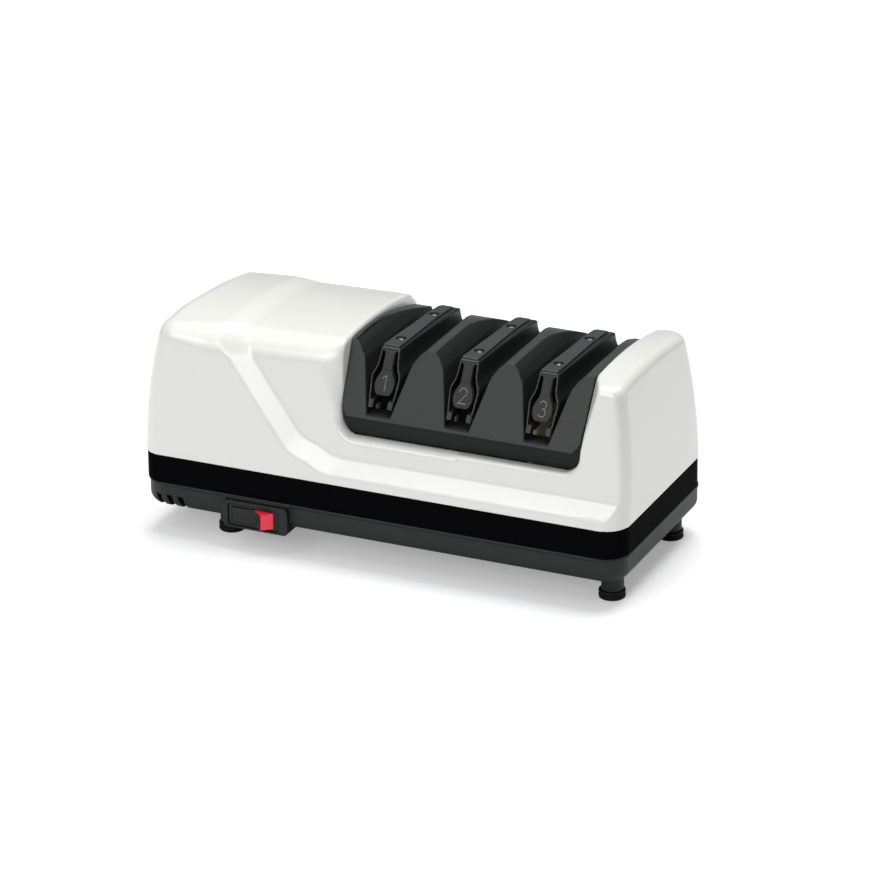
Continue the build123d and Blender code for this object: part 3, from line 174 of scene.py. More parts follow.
def net(field, low, high, cell):
    """Points and four-cornered faces of the surface where field is zero.

    Each cell that the surface passes through gets one point, and each edge of the grid that it
    crosses gets one face, which joins the points of the four cells round that edge.
    """
    low = np.array(low, float) - cell / 2
    count = [int(np.ceil((h - l) / cell)) + 2 for l, h in zip(low, high)]
    axes = [l + cell * np.arange(n) for l, n in zip(low, count)]
    value = field(*np.meshgrid(*axes, indexing="ij"))
    inside = value < 0
    nx, ny, nz = (n - 1 for n in inside.shape)
    total = sum(inside[a:a + nx, b:b + ny, c:c + nz].astype(np.int8) for a, b, c in CORNERS)
    active = (total > 0) & (total < len(CORNERS))
    index = np.full(active.shape, -1)
    index[active] = np.arange(active.sum())
    cells = np.argwhere(active)
    corner = [value[cells[:, 0] + a, cells[:, 1] + b, cells[:, 2] + c] for a, b, c in CORNERS]
    place = np.zeros((len(cells), 3))
    hits = np.zeros(len(cells))
    for i, j in EDGES:
        cut = (corner[i] < 0) != (corner[j] < 0)
        t = np.where(cut, corner[i] / np.where(cut, corner[i] - corner[j], 1), 0)
        p, q = np.array(CORNERS[i]), np.array(CORNERS[j])
        place += np.where(cut[:, None], p + t[:, None] * (q - p), 0)
        hits += cut
    points = low + cell * (cells + place / hits[:, None])
    faces = []
    for axis in range(3):
        u, v = (axis + 1) % 3, (axis + 2) % 3
        here = np.moveaxis(inside, (axis, u, v), (0, 1, 2))
        ids = np.moveaxis(index, (axis, u, v), (0, 1, 2))
        crossing = here[:-1, 1:-1, 1:-1] != here[1:, 1:-1, 1:-1]
        i, j, k = np.nonzero(crossing)
        quad = np.stack([ids[i, j, k], ids[i, j + 1, k], ids[i, j + 1, k + 1], ids[i, j, k + 1]], 1)
        out = here[i, j + 1, k + 1]
        faces.append(np.where(out[:, None], quad, quad[:, ::-1]))
    return points, np.concatenate(faces)


def slope(field, points, step):
    """Gradient of the field at points."""
    out = np.empty_like(points)
    for axis in range(3):
        shift = np.zeros(3)
        shift[axis] = step
        out[:, axis] = (field(*(points + shift).T) - field(*(points - shift).T)) / (2 * step)
    return out


def settle(field, points, cell, rounds=3):
    """Points moved onto the surface, half a cell a round at most."""
    for _ in range(rounds):
        g = slope(field, points, cell / SLOPE_PARTS)
        move = -field(*points.T)[:, None] * g / np.maximum((g * g).sum(1), 0.1)[:, None]
        far = np.maximum(np.linalg.norm(move, axis=1) / (cell / 2), 1)[:, None]
        points = points + move / far
    return points


def piece(name, points, faces, body="housing", normals=None):
    """A mesh object from points in millimetres about the housing's middle."""
    mesh = bpy.data.meshes.new(name)
    mesh.vertices.add(len(points))
    mesh.vertices.foreach_set("co", ((points + (0, MID_Y, 0)) * MM).astype(np.float32).ravel())
    sides = faces.shape[1]
    mesh.loops.add(faces.size)
    mesh.loops.foreach_set("vertex_index", faces.astype(np.int32).ravel())
    mesh.polygons.add(len(faces))
    mesh.polygons.foreach_set("loop_start", np.arange(0, faces.size, sides, dtype=np.int32))
    mesh.update(calc_edges=True)
    mesh.validate()
    mesh.shade_smooth()
    if normals is not None:
        mesh.normals_split_custom_set_from_vertices(normals)
    thing = bpy.data.objects.new(name, mesh)
    bpy.context.scene.collection.objects.link(thing)
    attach(thing, body)
    return thing


def cast(field, low, high, cell):
    """Points, faces and normals of a distance field's surface in the box from low to high."""
    points, faces = net(field, low, high, cell)
    points = settle(field, points, cell)
    g = slope(field, points, cell / SLOPE_PARTS)
    return points, faces, g / np.maximum(np.linalg.norm(g, axis=1), 1e-6)[:, None]


def mold(name, field, low, high, cell, body="housing"):
    """Smooth mesh of a distance field inside the box from low to high, made in cells that size."""
    points, faces, normals = cast(field, low, high, cell)
    return piece(name, points, faces, body, normals)


def mold_set(name, parts, body="housing"):
    """One object from several casts."""
    start = 0
    moved = []
    for points, faces, _ in parts:
        moved.append(faces + start)
        start += len(points)
    points = np.concatenate([part[0] for part in parts])
    normals = np.concatenate([part[2] for part in parts])
    return piece(name, points, np.concatenate(moved), body, normals)


# ---------------------------------------------------------------- materials
class Finish:
    """Principled material with helpers for noise-driven detail."""

    def __init__(self, name, color, roughness=0.5, metallic=0.0, **sockets):
        """Set the shader's plain values; sockets takes more of them by name."""
        self.material = bpy.data.materials.new(name)
        self.material.use_nodes = True
        self.nodes = self.material.node_tree.nodes
        self.links = self.material.node_tree.links
        self.shader = self.nodes["Principled BSDF"]
        self.color = color
        self.roughness = roughness
        self.shader.inputs["Base Color"].default_value = (*color, 1)
        self.shader.inputs["Roughness"].default_value = roughness
        self.shader.inputs["Metallic"].default_value = metallic
        for key, value in sockets.items():
            self.shader.inputs[key.replace("_", " ")].default_value = value
        self.place = self.nodes.new("ShaderNodeTexCoord").outputs["Object"]

    def noise(self, scale, detail=4.0, stretch=(1, 1, 1)):
        """Noise that rides on the object, with its scale stretched per axis."""
        mapping = self.nodes.new("ShaderNodeMapping")
        mapping.inputs["Scale"].default_value = stretch
        texture = self.nodes.new("ShaderNodeTexNoise")
        texture.inputs["Scale"].default_value = scale
        texture.inputs["Detail"].default_value = detail
        self.links.new(self.place, mapping.inputs["Vector"])
        self.links.new(mapping.outputs["Vector"], texture.inputs["Vector"])
        return texture.outputs["Fac"]

    def spread(self, source, low, high):
        """Map source's middle range to low..high."""
        node = self.nodes.new("ShaderNodeMapRange")
        node.inputs["From Min"].default_value = 0.3
        node.inputs["From Max"].default_value = 0.7
        node.inputs["To Min"].default_value = low
        node.inputs["To Max"].default_value = high
        self.links.new(source, node.inputs["Value"])
        return node.outputs["Result"]

    def vary_color(self, source, dark, light):
        """Blend between the colour times dark and times light."""
        mix = self.nodes.new("ShaderNodeMix")
        mix.data_type = "RGBA"
        mix.inputs["A"].default_value = (*(min(c * dark, 1) for c in self.color), 1)
        mix.inputs["B"].default_value = (*(min(c * light, 1) for c in self.color), 1)
        self.links.new(self.spread(source, 0, 1), mix.inputs["Factor"])
        self.links.new(mix.outputs["Result"], self.shader.inputs["Base Color"])
        return self

    def vary_roughness(self, source, amount):
        """Let the roughness go up and down by amount."""
        self.links.new(
            self.spread(source, self.roughness - amount, self.roughness + amount),
            self.shader.inputs["Roughness"],
        )
        return self

    def bump(self, source, height, strength=1.0):
        """Add relief, height in metres, on top of any relief there is."""
        node = self.nodes.new("ShaderNodeBump")
        node.inputs["Strength"].default_value = strength
        node.inputs["Distance"].default_value = height
        self.links.new(source, node.inputs["Height"])
        previous = self.shader.inputs["Normal"].links
        if previous:
            self.links.new(previous[0].from_socket, node.inputs["Normal"])
        self.links.new(node.outputs["Normal"], self.shader.inputs["Normal"])
        return self


def plastic(name, color, roughness, grain=1800.0, depth=0.00002, uneven=0.03, **sockets):
    """Moulded plastic with a fine grain and slightly uneven gloss."""
    finish = Finish(name, color, roughness, **sockets)
    finish.vary_color(finish.noise(40, 6), 1 - uneven, 1 + uneven)
    finish.vary_roughness(finish.noise(25, 5), uneven)
    finish.bump(finish.noise(grain, 3), depth)
    return finish.material


def metal(name, color, roughness, stretch=(1, 1, 1), metallic=1.0):
    """Metal with machining marks drawn out along one direction."""
    finish = Finish(name, color, roughness, metallic=metallic)
    marks = finish.noise(900, 5, stretch)
    finish.vary_color(marks, 0.85, 1.1)
    finish.vary_roughness(marks, 0.08)
    finish.bump(marks, 0.00002)
    return finish.material


def diamond():
    """Steel disk with a glittering abrasive coat."""
    finish = Finish("diamond_coat", (0.42, 0.42, 0.43), 0.38, metallic=0.9)
    grit = finish.noise(3500, 2)
    finish.vary_color(grit, 0.6, 1.35)
    finish.vary_roughness(grit, 0.12)
    finish.bump(grit, 0.00004)
    return finish.material


WHITE = plastic(
    "pearl_white", (0.78, 0.785, 0.735), 0.30, 2600, 0.000004,
    uneven=0.006, Specular_IOR_Level=0.7, Coat_Weight=1.0, Coat_Roughness=0.22,
)
BLACK_GLOSS = plastic(
    "polished_black", (0.003, 0.003, 0.0035), 0.18, 2200, 0.000004, Specular_IOR_Level=0.002
)
TRAY_GREY = plastic(
    "grained_grey", (0.009, 0.0105, 0.010), 0.45, 1500, 0.00003, Specular_IOR_Level=0.35
)
CHARCOAL = plastic(
    "satin_charcoal", (0.046, 0.049, 0.047), 0.45, 1700, 0.00002, Specular_IOR_Level=0.15
)
RIB_CHARCOAL = plastic(
    "rib_charcoal", (0.034, 0.036, 0.035), 0.45, 1700, 0.00002, Specular_IOR_Level=0.15
)
STRIP_GREY = plastic(
    "strip_grey", (0.040, 0.042, 0.042), 0.40, 1700, 0.00001, Specular_IOR_Level=0.35
)
# Painted shade: a darker copy of the charcoal for slot walls, slot floors, the skirt and the screw
# pockets, where little light reaches
SHADE_BLACK = plastic(
    "painted_shade_black", (0.018, 0.019, 0.0185), 0.5, 1700, 0.00002, Specular_IOR_Level=0.1
)
# Painted highlight: a lighter grey for the springs' front edges, where light catches them
EDGE_HIGHLIGHT = plastic("painted_edge_highlight", (0.11, 0.113, 0.11), 0.4, 1700, 0.00001, Specular_IOR_Level=0.3)
FIGURE_GREY = plastic("figure_grey", (0.17, 0.17, 0.163), 0.5, 1700, 0.00001)
SPRING_BLACK = plastic(
    "spring_black", (0.016, 0.017, 0.017), 0.38, 1700, 0.00001, Specular_IOR_Level=0.35
)
RUBBER = plastic("rubber", (0.007, 0.007, 0.007), 0.6, 1200, 0.00004, Specular_IOR_Level=0.2)
SWITCH_BLACK = plastic(
    "switch_black", (0.011, 0.012, 0.012), 0.36, 1900, 0.00001, Specular_IOR_Level=0.3
)
ROCKER_RED = plastic("rocker_red", (1.0, 0.03, 0.075), 0.28, 1900, 0.000006, uneven=0.0)
SCREW_BLACK = metal("screw_black", (0.16, 0.16, 0.16), 0.35)
STEEL = metal("ground_steel", (0.55, 0.55, 0.56), 0.28, (0.15, 1, 1))
ALLOY = metal("cast_alloy", (0.55, 0.56, 0.57), 0.45)
BRONZE = metal("sintered_bronze", (0.45, 0.27, 0.12), 0.42)
BRASS = metal("brass", (0.70, 0.50, 0.22), 0.28)
COPPER = metal("enamelled_copper", (0.50, 0.17, 0.08), 0.30, (1, 1, 0.05))
IRON = metal("laminated_iron", (0.20, 0.20, 0.21), 0.45, (0.02, 1, 1))
MAGNET = metal("ferrite", (0.06, 0.06, 0.065), 0.5, metallic=0.4)
NYLON = plastic("nylon", (0.62, 0.60, 0.54), 0.45)
STONE = plastic("dressing_stone", (0.50, 0.49, 0.44), 0.85, 900, 0.00015)
STROP = plastic("strop_cream", (0.85, 0.80, 0.58), 0.7, 1100, 0.0001)
DIAMOND = diamond()


def dress(thing, material):
    """Give the object one material."""
    thing.data.materials.clear()
    thing.data.materials.append(material)


def second_finish(thing, material, chosen):
    """Give another material to the faces that chosen(middle in millimetres, normal) picks."""
    thing.data.materials.append(material)
    for face in thing.data.polygons:
        face.material_index = int(chosen(face.center / MM, face.normal))


# ---------------------------------------------------------------- cover
# A pair of values in a name that ends in _X, _Y or _Z is a range along that axis.
FORM_HEIGHT = 73.5                  # over which the leans are given
FRONT_LEAN = 8.9
REAR_LEAN = 9.3
END_LEFT, END_RIGHT = 5.8, 4.4      # how far the ends have curved in END_RUN above END_Z
END_Z, END_RUN = 52.0, 50.0
BOW_R, BOW_X = 3333.0, 35.0         # the roof's bow along the body
CROWN_R, CROWN_Y = 250.0, -8.0      # and across it
CHEEK_FLATTER = 110.0               # added to the crown's radius at the right end
CHEEK_FLATTER_X = (101, 117)
ROOF_EDGE_R = 10.5
SHARPER_RIGHT = 6.5                 # taken off that radius along the right cheek
SHARPER_RIGHT_X = (85, 105)
SHARPER_LEFT = 4.5                  # and at the left end's front
SHARPER_LEFT_X, SHARPER_LEFT_Y = (-90, -118), (8, -28)
SOFTER_LEFT = 2.5                   # but added to it at the left end's back
SOFTER_LEFT_X, SOFTER_LEFT_Y = (-90, -114), (6, 36)
STEP_DEPTH = 4.0                    # of the panel round the guides
ROOF_STEP = 1.6
SWEEP_ANGLE = radians(52.0)
SWEEP_FOOT_X = -41.5
LEDGE_Z = 45.5
RAMP_WIDTH = 7.8
SLANT_RAMP_WIDTH = 9.8
SWEEP_BEND = 11.0
SWEEP_BEND_MORE = 12                # the bend's radius grows by up to this much into the panel
RAMP_SOFT = 0.5
PANEL_EDGE_R = 0.45                 # where the ramp leaves the outer walls
PANEL_EDGE_MORE, PANEL_EDGE_MORE_X = 0.9, (100, 110)
ROOF_SWEEP_X = -87.0
ROOF_SWEEP_Y = -45
ROOF_RAMP = 11.0
ROOF_SKEW = 0.045
RECESS_LEFT = -21.4
RECESS_RIGHT = 101.7
RECESS_FLOOR = 64.5
RECESS_CORNER_R = 8.0
RECESS_DRAFT = tan(radians(2.6))
RECESS_EDGE_R = 2.2
BLOCK_EDGE = 2.0                    # added to that radius at the left block's front
BLOCK_EDGE_TALL = 8.0               # and this much more high up
BLOCK_EDGE_Y, BLOCK_EDGE_Z = (-45, -37), (72, 102)
BLOCK_END = 40                      # the block's edges lie to the left of this
CUT_SHALLOW, CUT_GROWTH = 0.7, 0.4265   # the right cheek's cut corner gets deeper upwards
CUT_SHARE = 0.5                     # its width over its depth
CUT_FOOT, CUT_LEFT, CUT_R = 77.5, 60, 1.2
OUTSIDE, INSIDE = 9, -9             # stand-ins for a far distance
OPENING_LEDGE = 1.7                 # rim that the insert stands on
OPENING_HALF, OPENING_Z = 43.0, (50, 76)
NOTCH_R, NOTCH_X = 6.5, (-30, -10)  # where the shaft passes into the motor's room
RIM_GAP, RIM_R = 0.05, 0.6


def plan_radius(x, inset=0.0):
    """Radius of the housing's upright corners at the end that x is nearer to."""
    return np.where(x < 0, CORNER_LEFT_R, CORNER_RIGHT_R) - inset


def panel_depth(x, z):
    """How deep the panel round the guides lies at a place on the front, negative outside it."""
    above = z - LEDGE_Z
    beside = (x - SWEEP_FOOT_X) * sin(SWEEP_ANGLE) + above * cos(SWEEP_ANGLE)
    beside = beside * RAMP_WIDTH / SLANT_RAMP_WIDTH
    bend = SWEEP_BEND + np.clip(np.minimum(above, beside), 0, SWEEP_BEND_MORE)
    inside = -both(-above, -beside, bend)
    depth = STEP_DEPTH * inside / RAMP_WIDTH
    near = np.maximum(RAMP_SOFT - abs(depth - STEP_DEPTH), 0)
    return np.minimum(depth, STEP_DEPTH) - near * near / (4 * RAMP_SOFT)


def cover_form(x, y, z):
    """Outside of the cover without the recess, open downwards."""
    share = (z - BAND_TOP) / FORM_HEIGHT
    curve = (np.maximum(z - END_Z, 0) / END_RUN) ** 2
    half_x = BODY_LENGTH / 2 - np.where(x < 0, END_LEFT, END_RIGHT) * curve
    low = -BODY_DEPTH / 2 + FRONT_LEAN * share
    high = BODY_DEPTH / 2 - REAR_LEAN * share
    plan = rectangle(x, y - (low + high) / 2, half_x, (high - low) / 2, plan_radius(x))
    panel_edge = PANEL_EDGE_R + PANEL_EDGE_MORE * blend(x, *PANEL_EDGE_MORE_X)
    walls = both(plan, low + panel_depth(x, z) - y, panel_edge)
    drop = ROOF_STEP * ramp((x - ROOF_SWEEP_X - ROOF_SKEW * (y - ROOF_SWEEP_Y)) / ROOF_RAMP)
    rho = np.hypot(x - BOW_X, z - ROOF_Z + BOW_R) - BOW_R
    crown = CROWN_R + CHEEK_FLATTER * blend(x, *CHEEK_FLATTER_X)
    roof = np.hypot(y - CROWN_Y, rho + crown) - crown + drop
    left_front = blend(x, *SHARPER_LEFT_X) * blend(y, *SHARPER_LEFT_Y)
    left_rear = blend(x, *SOFTER_LEFT_X) * blend(y, *SOFTER_LEFT_Y)
    edge = ROOF_EDGE_R - SHARPER_RIGHT * blend(x, *SHARPER_RIGHT_X)
    edge = edge - SHARPER_LEFT * left_front + SOFTER_LEFT * left_rear
    return both(walls, roof, edge)


def recess(x, z):
    """Room for the guides between the left block and the right cheek, open upwards."""
    left = RECESS_LEFT - (z - RECESS_FLOOR) * RECESS_DRAFT
    right = RECESS_RIGHT + (z - RECESS_FLOOR) * RECESS_DRAFT
    return both(np.maximum(left - x, x - right), RECESS_FLOOR - z, RECESS_CORNER_R)


def cover_solid(x, y, z):
    """Outside of the cover with the recess and the right cheek's cut corner."""
    tall = blend(z, *BLOCK_EDGE_Z)
    front = 1 - blend(y, *BLOCK_EDGE_Y)
    more = np.where(x < BLOCK_END, BLOCK_EDGE + BLOCK_EDGE_TALL * tall, 0)
    form = less(cover_form(x, y, z), recess(x, z), RECESS_EDGE_R + front * more)
    face = STEP_DEPTH - BODY_DEPTH / 2 + FRONT_LEAN * (z - BAND_TOP) / FORM_HEIGHT
    back = np.maximum(CUT_SHALLOW + CUT_GROWTH * (z - INSERT_LEDGE), CUT_SHALLOW)
    side = CUT_SHARE * back
    cheek = RECESS_RIGHT + (z - RECESS_FLOOR) * RECESS_DRAFT
    corner = (cheek - x) / side + (face - y) / back + 1
    corner = np.minimum(corner / np.hypot(1 / side, 1 / back), z - CUT_FOOT)
    corner = np.where(x > CUT_LEFT, corner, INSIDE)
    return both(form, corner, CUT_R)


def cover(x, y, z):
    """The cover as a shell, with the insert's opening and the shaft's notch."""
    outer = cover_solid(x, y, z)
    shell = np.maximum(outer, -(outer + WALL))
    opening = box(
        x, y, z,
        (RECESS_LEFT + OPENING_LEDGE, -OPENING_HALF, OPENING_Z[0]),
        (RECESS_RIGHT - OPENING_LEDGE, OPENING_HALF, OPENING_Z[1]),
    )
    notch = np.minimum(
        np.hypot(y - SHAFT_Y, z - SHAFT_Z) - NOTCH_R,
        np.maximum(abs(y - SHAFT_Y) - NOTCH_R, z - SHAFT_Z),
    )
    shell = less(less(shell, opening), np.maximum(notch, slab(x, *NOTCH_X)))
    return both(shell, BAND_TOP + RIM_GAP - z, RIM_R)


top_cover = mold("cover_shell", cover, (-129, -57, 39.5), (129, 57, 112), 1.0)
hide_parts("top_cover")
dress(top_cover, WHITE)

# ---------------------------------------------------------------- band and tray
BAND_INSET = 0.5
BAND_EDGE_R = 0.4
LEVER_X, LEVER_Z = STAGES[-1], 33.9
LEVER_WINDOW = (13.0, 4.9, 1.6)     # half length, half height and corner radius, as below
LEVER_WINDOW_Y = 40


def band(x, y, z):
    """Ring between cover and tray, with the lever's window at the back."""
    plan = rectangle(
        x, y, BODY_LENGTH / 2 - BAND_INSET, BODY_DEPTH / 2 - BAND_INSET, plan_radius(x, BAND_INSET)
    )
    ring = both(np.maximum(plan, -(plan + WALL)), slab(z, TRAY_TOP, BAND_TOP), BAND_EDGE_R)
    window = rectangle(x - LEVER_X, z - LEVER_Z, *LEVER_WINDOW)
    return less(ring, np.maximum(window, LEVER_WINDOW_Y - y), FINE_R)


trim = mold("band_ring", band, (-128, -56, 25.5), (128, 56, 42), 0.8)
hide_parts("trim_band")
dress(trim, BLACK_GLOSS)

TRAY_CORNER_R = 12.5
TRAY_ROLL = 5.5
LIP_PROUD, LIP_TALL, LIP_R = 0.5, 1.4, 0.35
HOLLOW_OVER = 9                     # the hollow runs on this far above the top
FEET = [(x, y) for x in (-86.3, 115.4) for y in (-37.2, 37.2)]
POST_R, POST_FOOT = 5.7, 4.35
SCREWS = [(x, y) for x in (-104.0, 110.0) for y in (-38.0, 38.0)]
SCREW_WELL_R, SCREW_WELL_TOP = 3.3, 21
BOSS_X, BOSS_Z = -63.5, 17.7
BOSS_PLAN = (17.5, 7.1, 2.6)
BOSS_FACE, BOSS_REAR = -58.0, -38.0
BOSS_EDGE_R = 0.8
ROCKER_X, ROCKER_Z = -64.5, 17.6
ROCKER_WELL = (13.5, 5.8, 1.4)
HATCH_X, HATCH_Y = 42.0, -19.0
HATCH_PLAN, HATCH_TOP = (20.3, 19.3, 0.8), 18
HINGE_Y, HINGE_Z, HINGE_R = 2.2, 11.0, 1.9
LUGS, LUG_HALF = (25.0, 59.0), 3.0
VENTS = (-117.7, -111.8, -105.8)
VENT_LEAN = tan(radians(17))
VENT_HALF, VENT_TOP, VENT_REAR = 1.2, 19.8, -46
GLAND_X, GLAND_Z, GLAND_R = -104.0, 19.2, 4.9
GLAND_FRONT = 45


def tray(x, y, z):
    """Open tray with lip, switch boss, foot posts, hinge lugs and its openings."""
    plan = rectangle(
        x, y, BODY_LENGTH / 2 - LIP_PROUD, BODY_DEPTH / 2 - LIP_PROUD, TRAY_CORNER_R - LIP_PROUD
    )
    walls = both(plan, TRAY_BOTTOM - z, TRAY_ROLL)
    lip = both(plan - LIP_PROUD, slab(z, TRAY_TOP - LIP_TALL, TRAY_TOP), LIP_R)
    boss = both(
        rectangle(x - BOSS_X, z - BOSS_Z, *BOSS_PLAN),
        np.maximum(BOSS_FACE - y, y - BOSS_REAR), BOSS_EDGE_R,
    )
    form = either(both(walls, z - TRAY_TOP, FINE_R), lip, 0.2)
    hollow = both(plan + WALL, TRAY_BOTTOM + WALL - z, TRAY_ROLL)
    form = less(either(form, boss, 0.6), np.maximum(hollow, z - TRAY_TOP - HOLLOW_OVER))
    for fx, fy in FEET:
        post = np.maximum(np.hypot(x - fx, y - fy) - POST_R, slab(z, POST_FOOT, TRAY_BOTTOM + 3))
        form = either(form, post, 0.8)
    for lug in LUGS:
        arm = np.maximum(
            abs(y - HINGE_Y - HINGE_R / 2) - HINGE_R / 2, slab(z, HINGE_Z, TRAY_BOTTOM + 1)
        )
        knuckle = np.minimum(np.hypot(y - HINGE_Y, z - HINGE_Z) - HINGE_R, arm)
        form = either(form, np.maximum(knuckle, abs(x - lug) - LUG_HALF), FINE_R)
    well = np.maximum(rectangle(x - ROCKER_X, z - ROCKER_Z, *ROCKER_WELL), y - BOSS_REAR)
    form = less(form, well, 0.2)
    hatch = np.maximum(rectangle(x - HATCH_X, y - HATCH_Y, *HATCH_PLAN), z - HATCH_TOP)
    form = less(form, hatch, FINE_R)
    for vx in VENTS:
        along = x - vx - (VENT_TOP - z) * VENT_LEAN
        vent = np.maximum(np.maximum(abs(along) * 0.95 - VENT_HALF, z - VENT_TOP), y - VENT_REAR)
        form = less(form, vent, FINE_R)
    for sx, sy in SCREWS:
        well = np.maximum(np.hypot(x - sx, y - sy) - SCREW_WELL_R, z - SCREW_WELL_TOP)
        form = less(form, well, FINE_R)
    gland = np.maximum(np.hypot(x - GLAND_X, z - GLAND_Z) - GLAND_R, GLAND_FRONT - y)
    return less(form, gland, 0.1)


base = mold("tray_shell", tray, (-128, -59, 4), (128, 56, 28), 0.8)
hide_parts("base_tray")
dress(base, TRAY_GREY)

# ---------------------------------------------------------------- guide insert
INSERT_GAP = 0.25                   # between insert and recess
INSERT_FRONT = -46.0
FRONT_RECEDES = 1.6                 # the front falls back by this at the insert's outline
FRONT_RECEDES_SLOPE = 0.8
SKIRT_FRONT = -44.5
SKIRT_LEAN = 0.12                   # how far the skirt leans in per millimetre of height
SKIRT_DROP = 1.8                    # from the ledge down to the skirt's top
RIDGE_FOOT = 2.0
RIDGE_TOP = 107.4
RIDGE_LEAN = radians(28.7)
RIDGE_R = 0.5
RIDGE_SIDE = (                      # height, half width of the slot
    (64, 0.0), (76.6, 6.1), (98, 11.6), (100.5, 12.4), (102.5, 13.8), (104.5, 15.2),
    (106, 16.8), (107.4, 18.6), (120, 18.6),
)
CREST_FALL, CREST_Y = 0.0064, 4     # the ridges' tops fall off behind CREST_Y
SIDE_ROOF_Z = 108.4
SIDE_FALL, SIDE_Y = 0.003, -14
SIDE_X = (-15, 93)                  # beyond these lie the insert's side walls
DISK_ROOM_HALF = 11.2
HOLLOW_X, HOLLOW_Z = (-18.4, 98.7), 50
HOLLOW_HALF, HOLLOW_ROOF = 42.5, 2.2
SHADE_SIDE = 0.5                     # faces that turn further to a side are slot walls, given painted shade
SHADE_SKIRT, SHADE_FLOOR = 1.9, 0.6   # limits of the painted shade on skirt and slot floor, from the ledge


def ridge_face(y, z):
    """Distance in front of the leaning plane that the ridges' front faces share."""
    return (z - INSERT_LEDGE) * sin(RIDGE_LEAN) - (y - INSERT_FRONT) * cos(RIDGE_LEAN)


def insert(x, y, z):
    """Guide insert: ridges on a skirt, with a slot and room for the disks at each stage."""
    heights, halves = zip(*RIDGE_SIDE)
    outline = recess(x, z) + INSERT_GAP
    block = both(outline, ridge_face(y, z), RIDGE_R)
    crest = RIDGE_TOP - CREST_FALL * np.maximum(y - CREST_Y, 0) ** 2
    side_crest = SIDE_ROOF_Z - SIDE_FALL * (y - SIDE_Y) ** 2
    top = np.where((x < SIDE_X[0]) | (x > SIDE_X[1]), side_crest, crest)
    block = both(block, (z - top) * 0.93, RIDGE_R)
    margin = -outline
    recedes = INSERT_FRONT + FRONT_RECEDES - y - FRONT_RECEDES_SLOPE * margin
    block = np.maximum(block, recedes * 0.78)
    block = np.maximum(block, y + INSERT_FRONT)
    front = abs(y) + SKIRT_FRONT + SKIRT_LEAN * (INSERT_LEDGE - z)
    skirt = both(outline, np.maximum(front, z - INSERT_LEDGE + SKIRT_DROP), FINE_R)
    block = either(np.maximum(block, INSERT_LEDGE - RIDGE_FOOT - z), skirt)
    half = np.interp(z, heights, halves)
    for sx in STAGES:
        slot = np.maximum((abs(x - sx) - half) * 0.88, INSERT_LEDGE - z)
        block = less(block, slot, RIDGE_R)
        wheel = np.hypot(y - SHAFT_Y, z - SHAFT_Z) - DISK_ROOM
        block = less(block, np.maximum(wheel, abs(x - sx) - DISK_ROOM_HALF))
    hollow = box(
        x, y, z,
        (HOLLOW_X[0], -HOLLOW_HALF, HOLLOW_Z),
        (HOLLOW_X[1], HOLLOW_HALF, INSERT_LEDGE - HOLLOW_ROOF), 1,
    )
    return np.maximum(less(block, hollow), RECESS_FLOOR + 0.2 - z)


guides = mold("guide_block", insert, (-24, -47.5, 63.5), (104.5, 47.5, 108.5), 0.6)
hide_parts("guide_insert")
dress(guides, CHARCOAL)
# Painted shade on the slot walls, the slot floors and the skirt below the ledge
second_finish(guides, SHADE_BLACK, lambda place, facing: (
    abs(facing.x) > SHADE_SIDE or place.z < INSERT_LEDGE - SHADE_SKIRT
    or (place.z < INSERT_LEDGE + SHADE_FLOOR and facing.z > 0.6)
))

# ---------------------------------------------------------------- bridges, springs, clamps
SPRING_TOP = (                      # depth, height of the springs' tops
    (-60, 106.4), (-31, 106.4), (-17, 105.8), (-3, 105.3), (10, 104.8), (23.5, 104.0),
    (34, 103.0), (60, 99.6),
)
PADDLE = (                          # height, half width of the numbered plate
    (85.2, 2.5), (86.2, 3.9), (88.4, 4.9), (90.8, 5.1), (93, 4.4), (95, 3.2), (97.5, 2.4),
    (103.2, 2.35), (104, 2.7), (104.5, 3.4), (104.7, 4.2), (120, 4.2),
)
SPRING_OUT = (                      # height, half width over the spring's arms
    (79, 6.3), (80, 6.5), (87, 7.2), (92.6, 7.7), (94.2, 7.5), (97, 6.1), (99.5, 5.5),
    (104, 5.1), (120, 4.9),
)
PLATE_THICK, PLATE_FOOT = 2.6, 85.4
RIB_HALF, RIB_FOOT = 2.4, 97
BRIDGE_REAR = 40.0
BRIDGE_CHAMFER = 2
POST_FRONT = 28.0
SEAT_HALF, SEAT_TALL, SEAT_GAP = 3.4, 6, 0.2    # foot of the post, which the spring leaves free
FIGURE_Z = 91.0
FIGURE_STRETCH = 1.1
DIGIT_PROUD = 0.12
DIGIT_HALF = 0.22
SPRING_THICK = 0.95
SPRING_ROOF = 0.92
SPRING_FOOT = 79.9
SPRING_FREE = 83.9                  # up to here the spring leaves the post's foot free
SPRING_HIGHLIGHT_Z = 84                    # above this its front edges get a painted highlight
SPRING_EDGE_R = 1.1
SPRING_WIDER, SPRING_WIDER_Y = 0.6, (-20, 40)
ARM_REAR, ARM_REAR_R = 42.0, 5.0
TOE_OFF, TOE_Z = (3.7, 6.4), (79.95, 83.4)
STRIP_HALF, STRIP_TAPER, STRIP_TAPER_Y = 4.2, 1.2, (-28, 34)
STRIP_REAR = 35.5
STRIP_THICK = 1.1
STRIP_GAP = 0.02                    # between spring and strip
CLAMP_SCREWS = (-18.5, 19.8)        # depths of each strip's screws
POCKET_R, POCKET_FLOOR, BORE_R = 2.5, 0.3, 1.75
POCKET_SHADE = 2.6                   # reach of the painted shade in the pocket
HEAD_R, HEAD_TALL, HEAD_DOME = 1.6, 1.0, 0.16
CROSS_HALF, CROSS_REACH, CROSS_FLOOR = 0.22, 0.9, 0.45
SHANK_R, SHANK_DOWN, SHANK_UP = 1.2, 5.5, 0.3


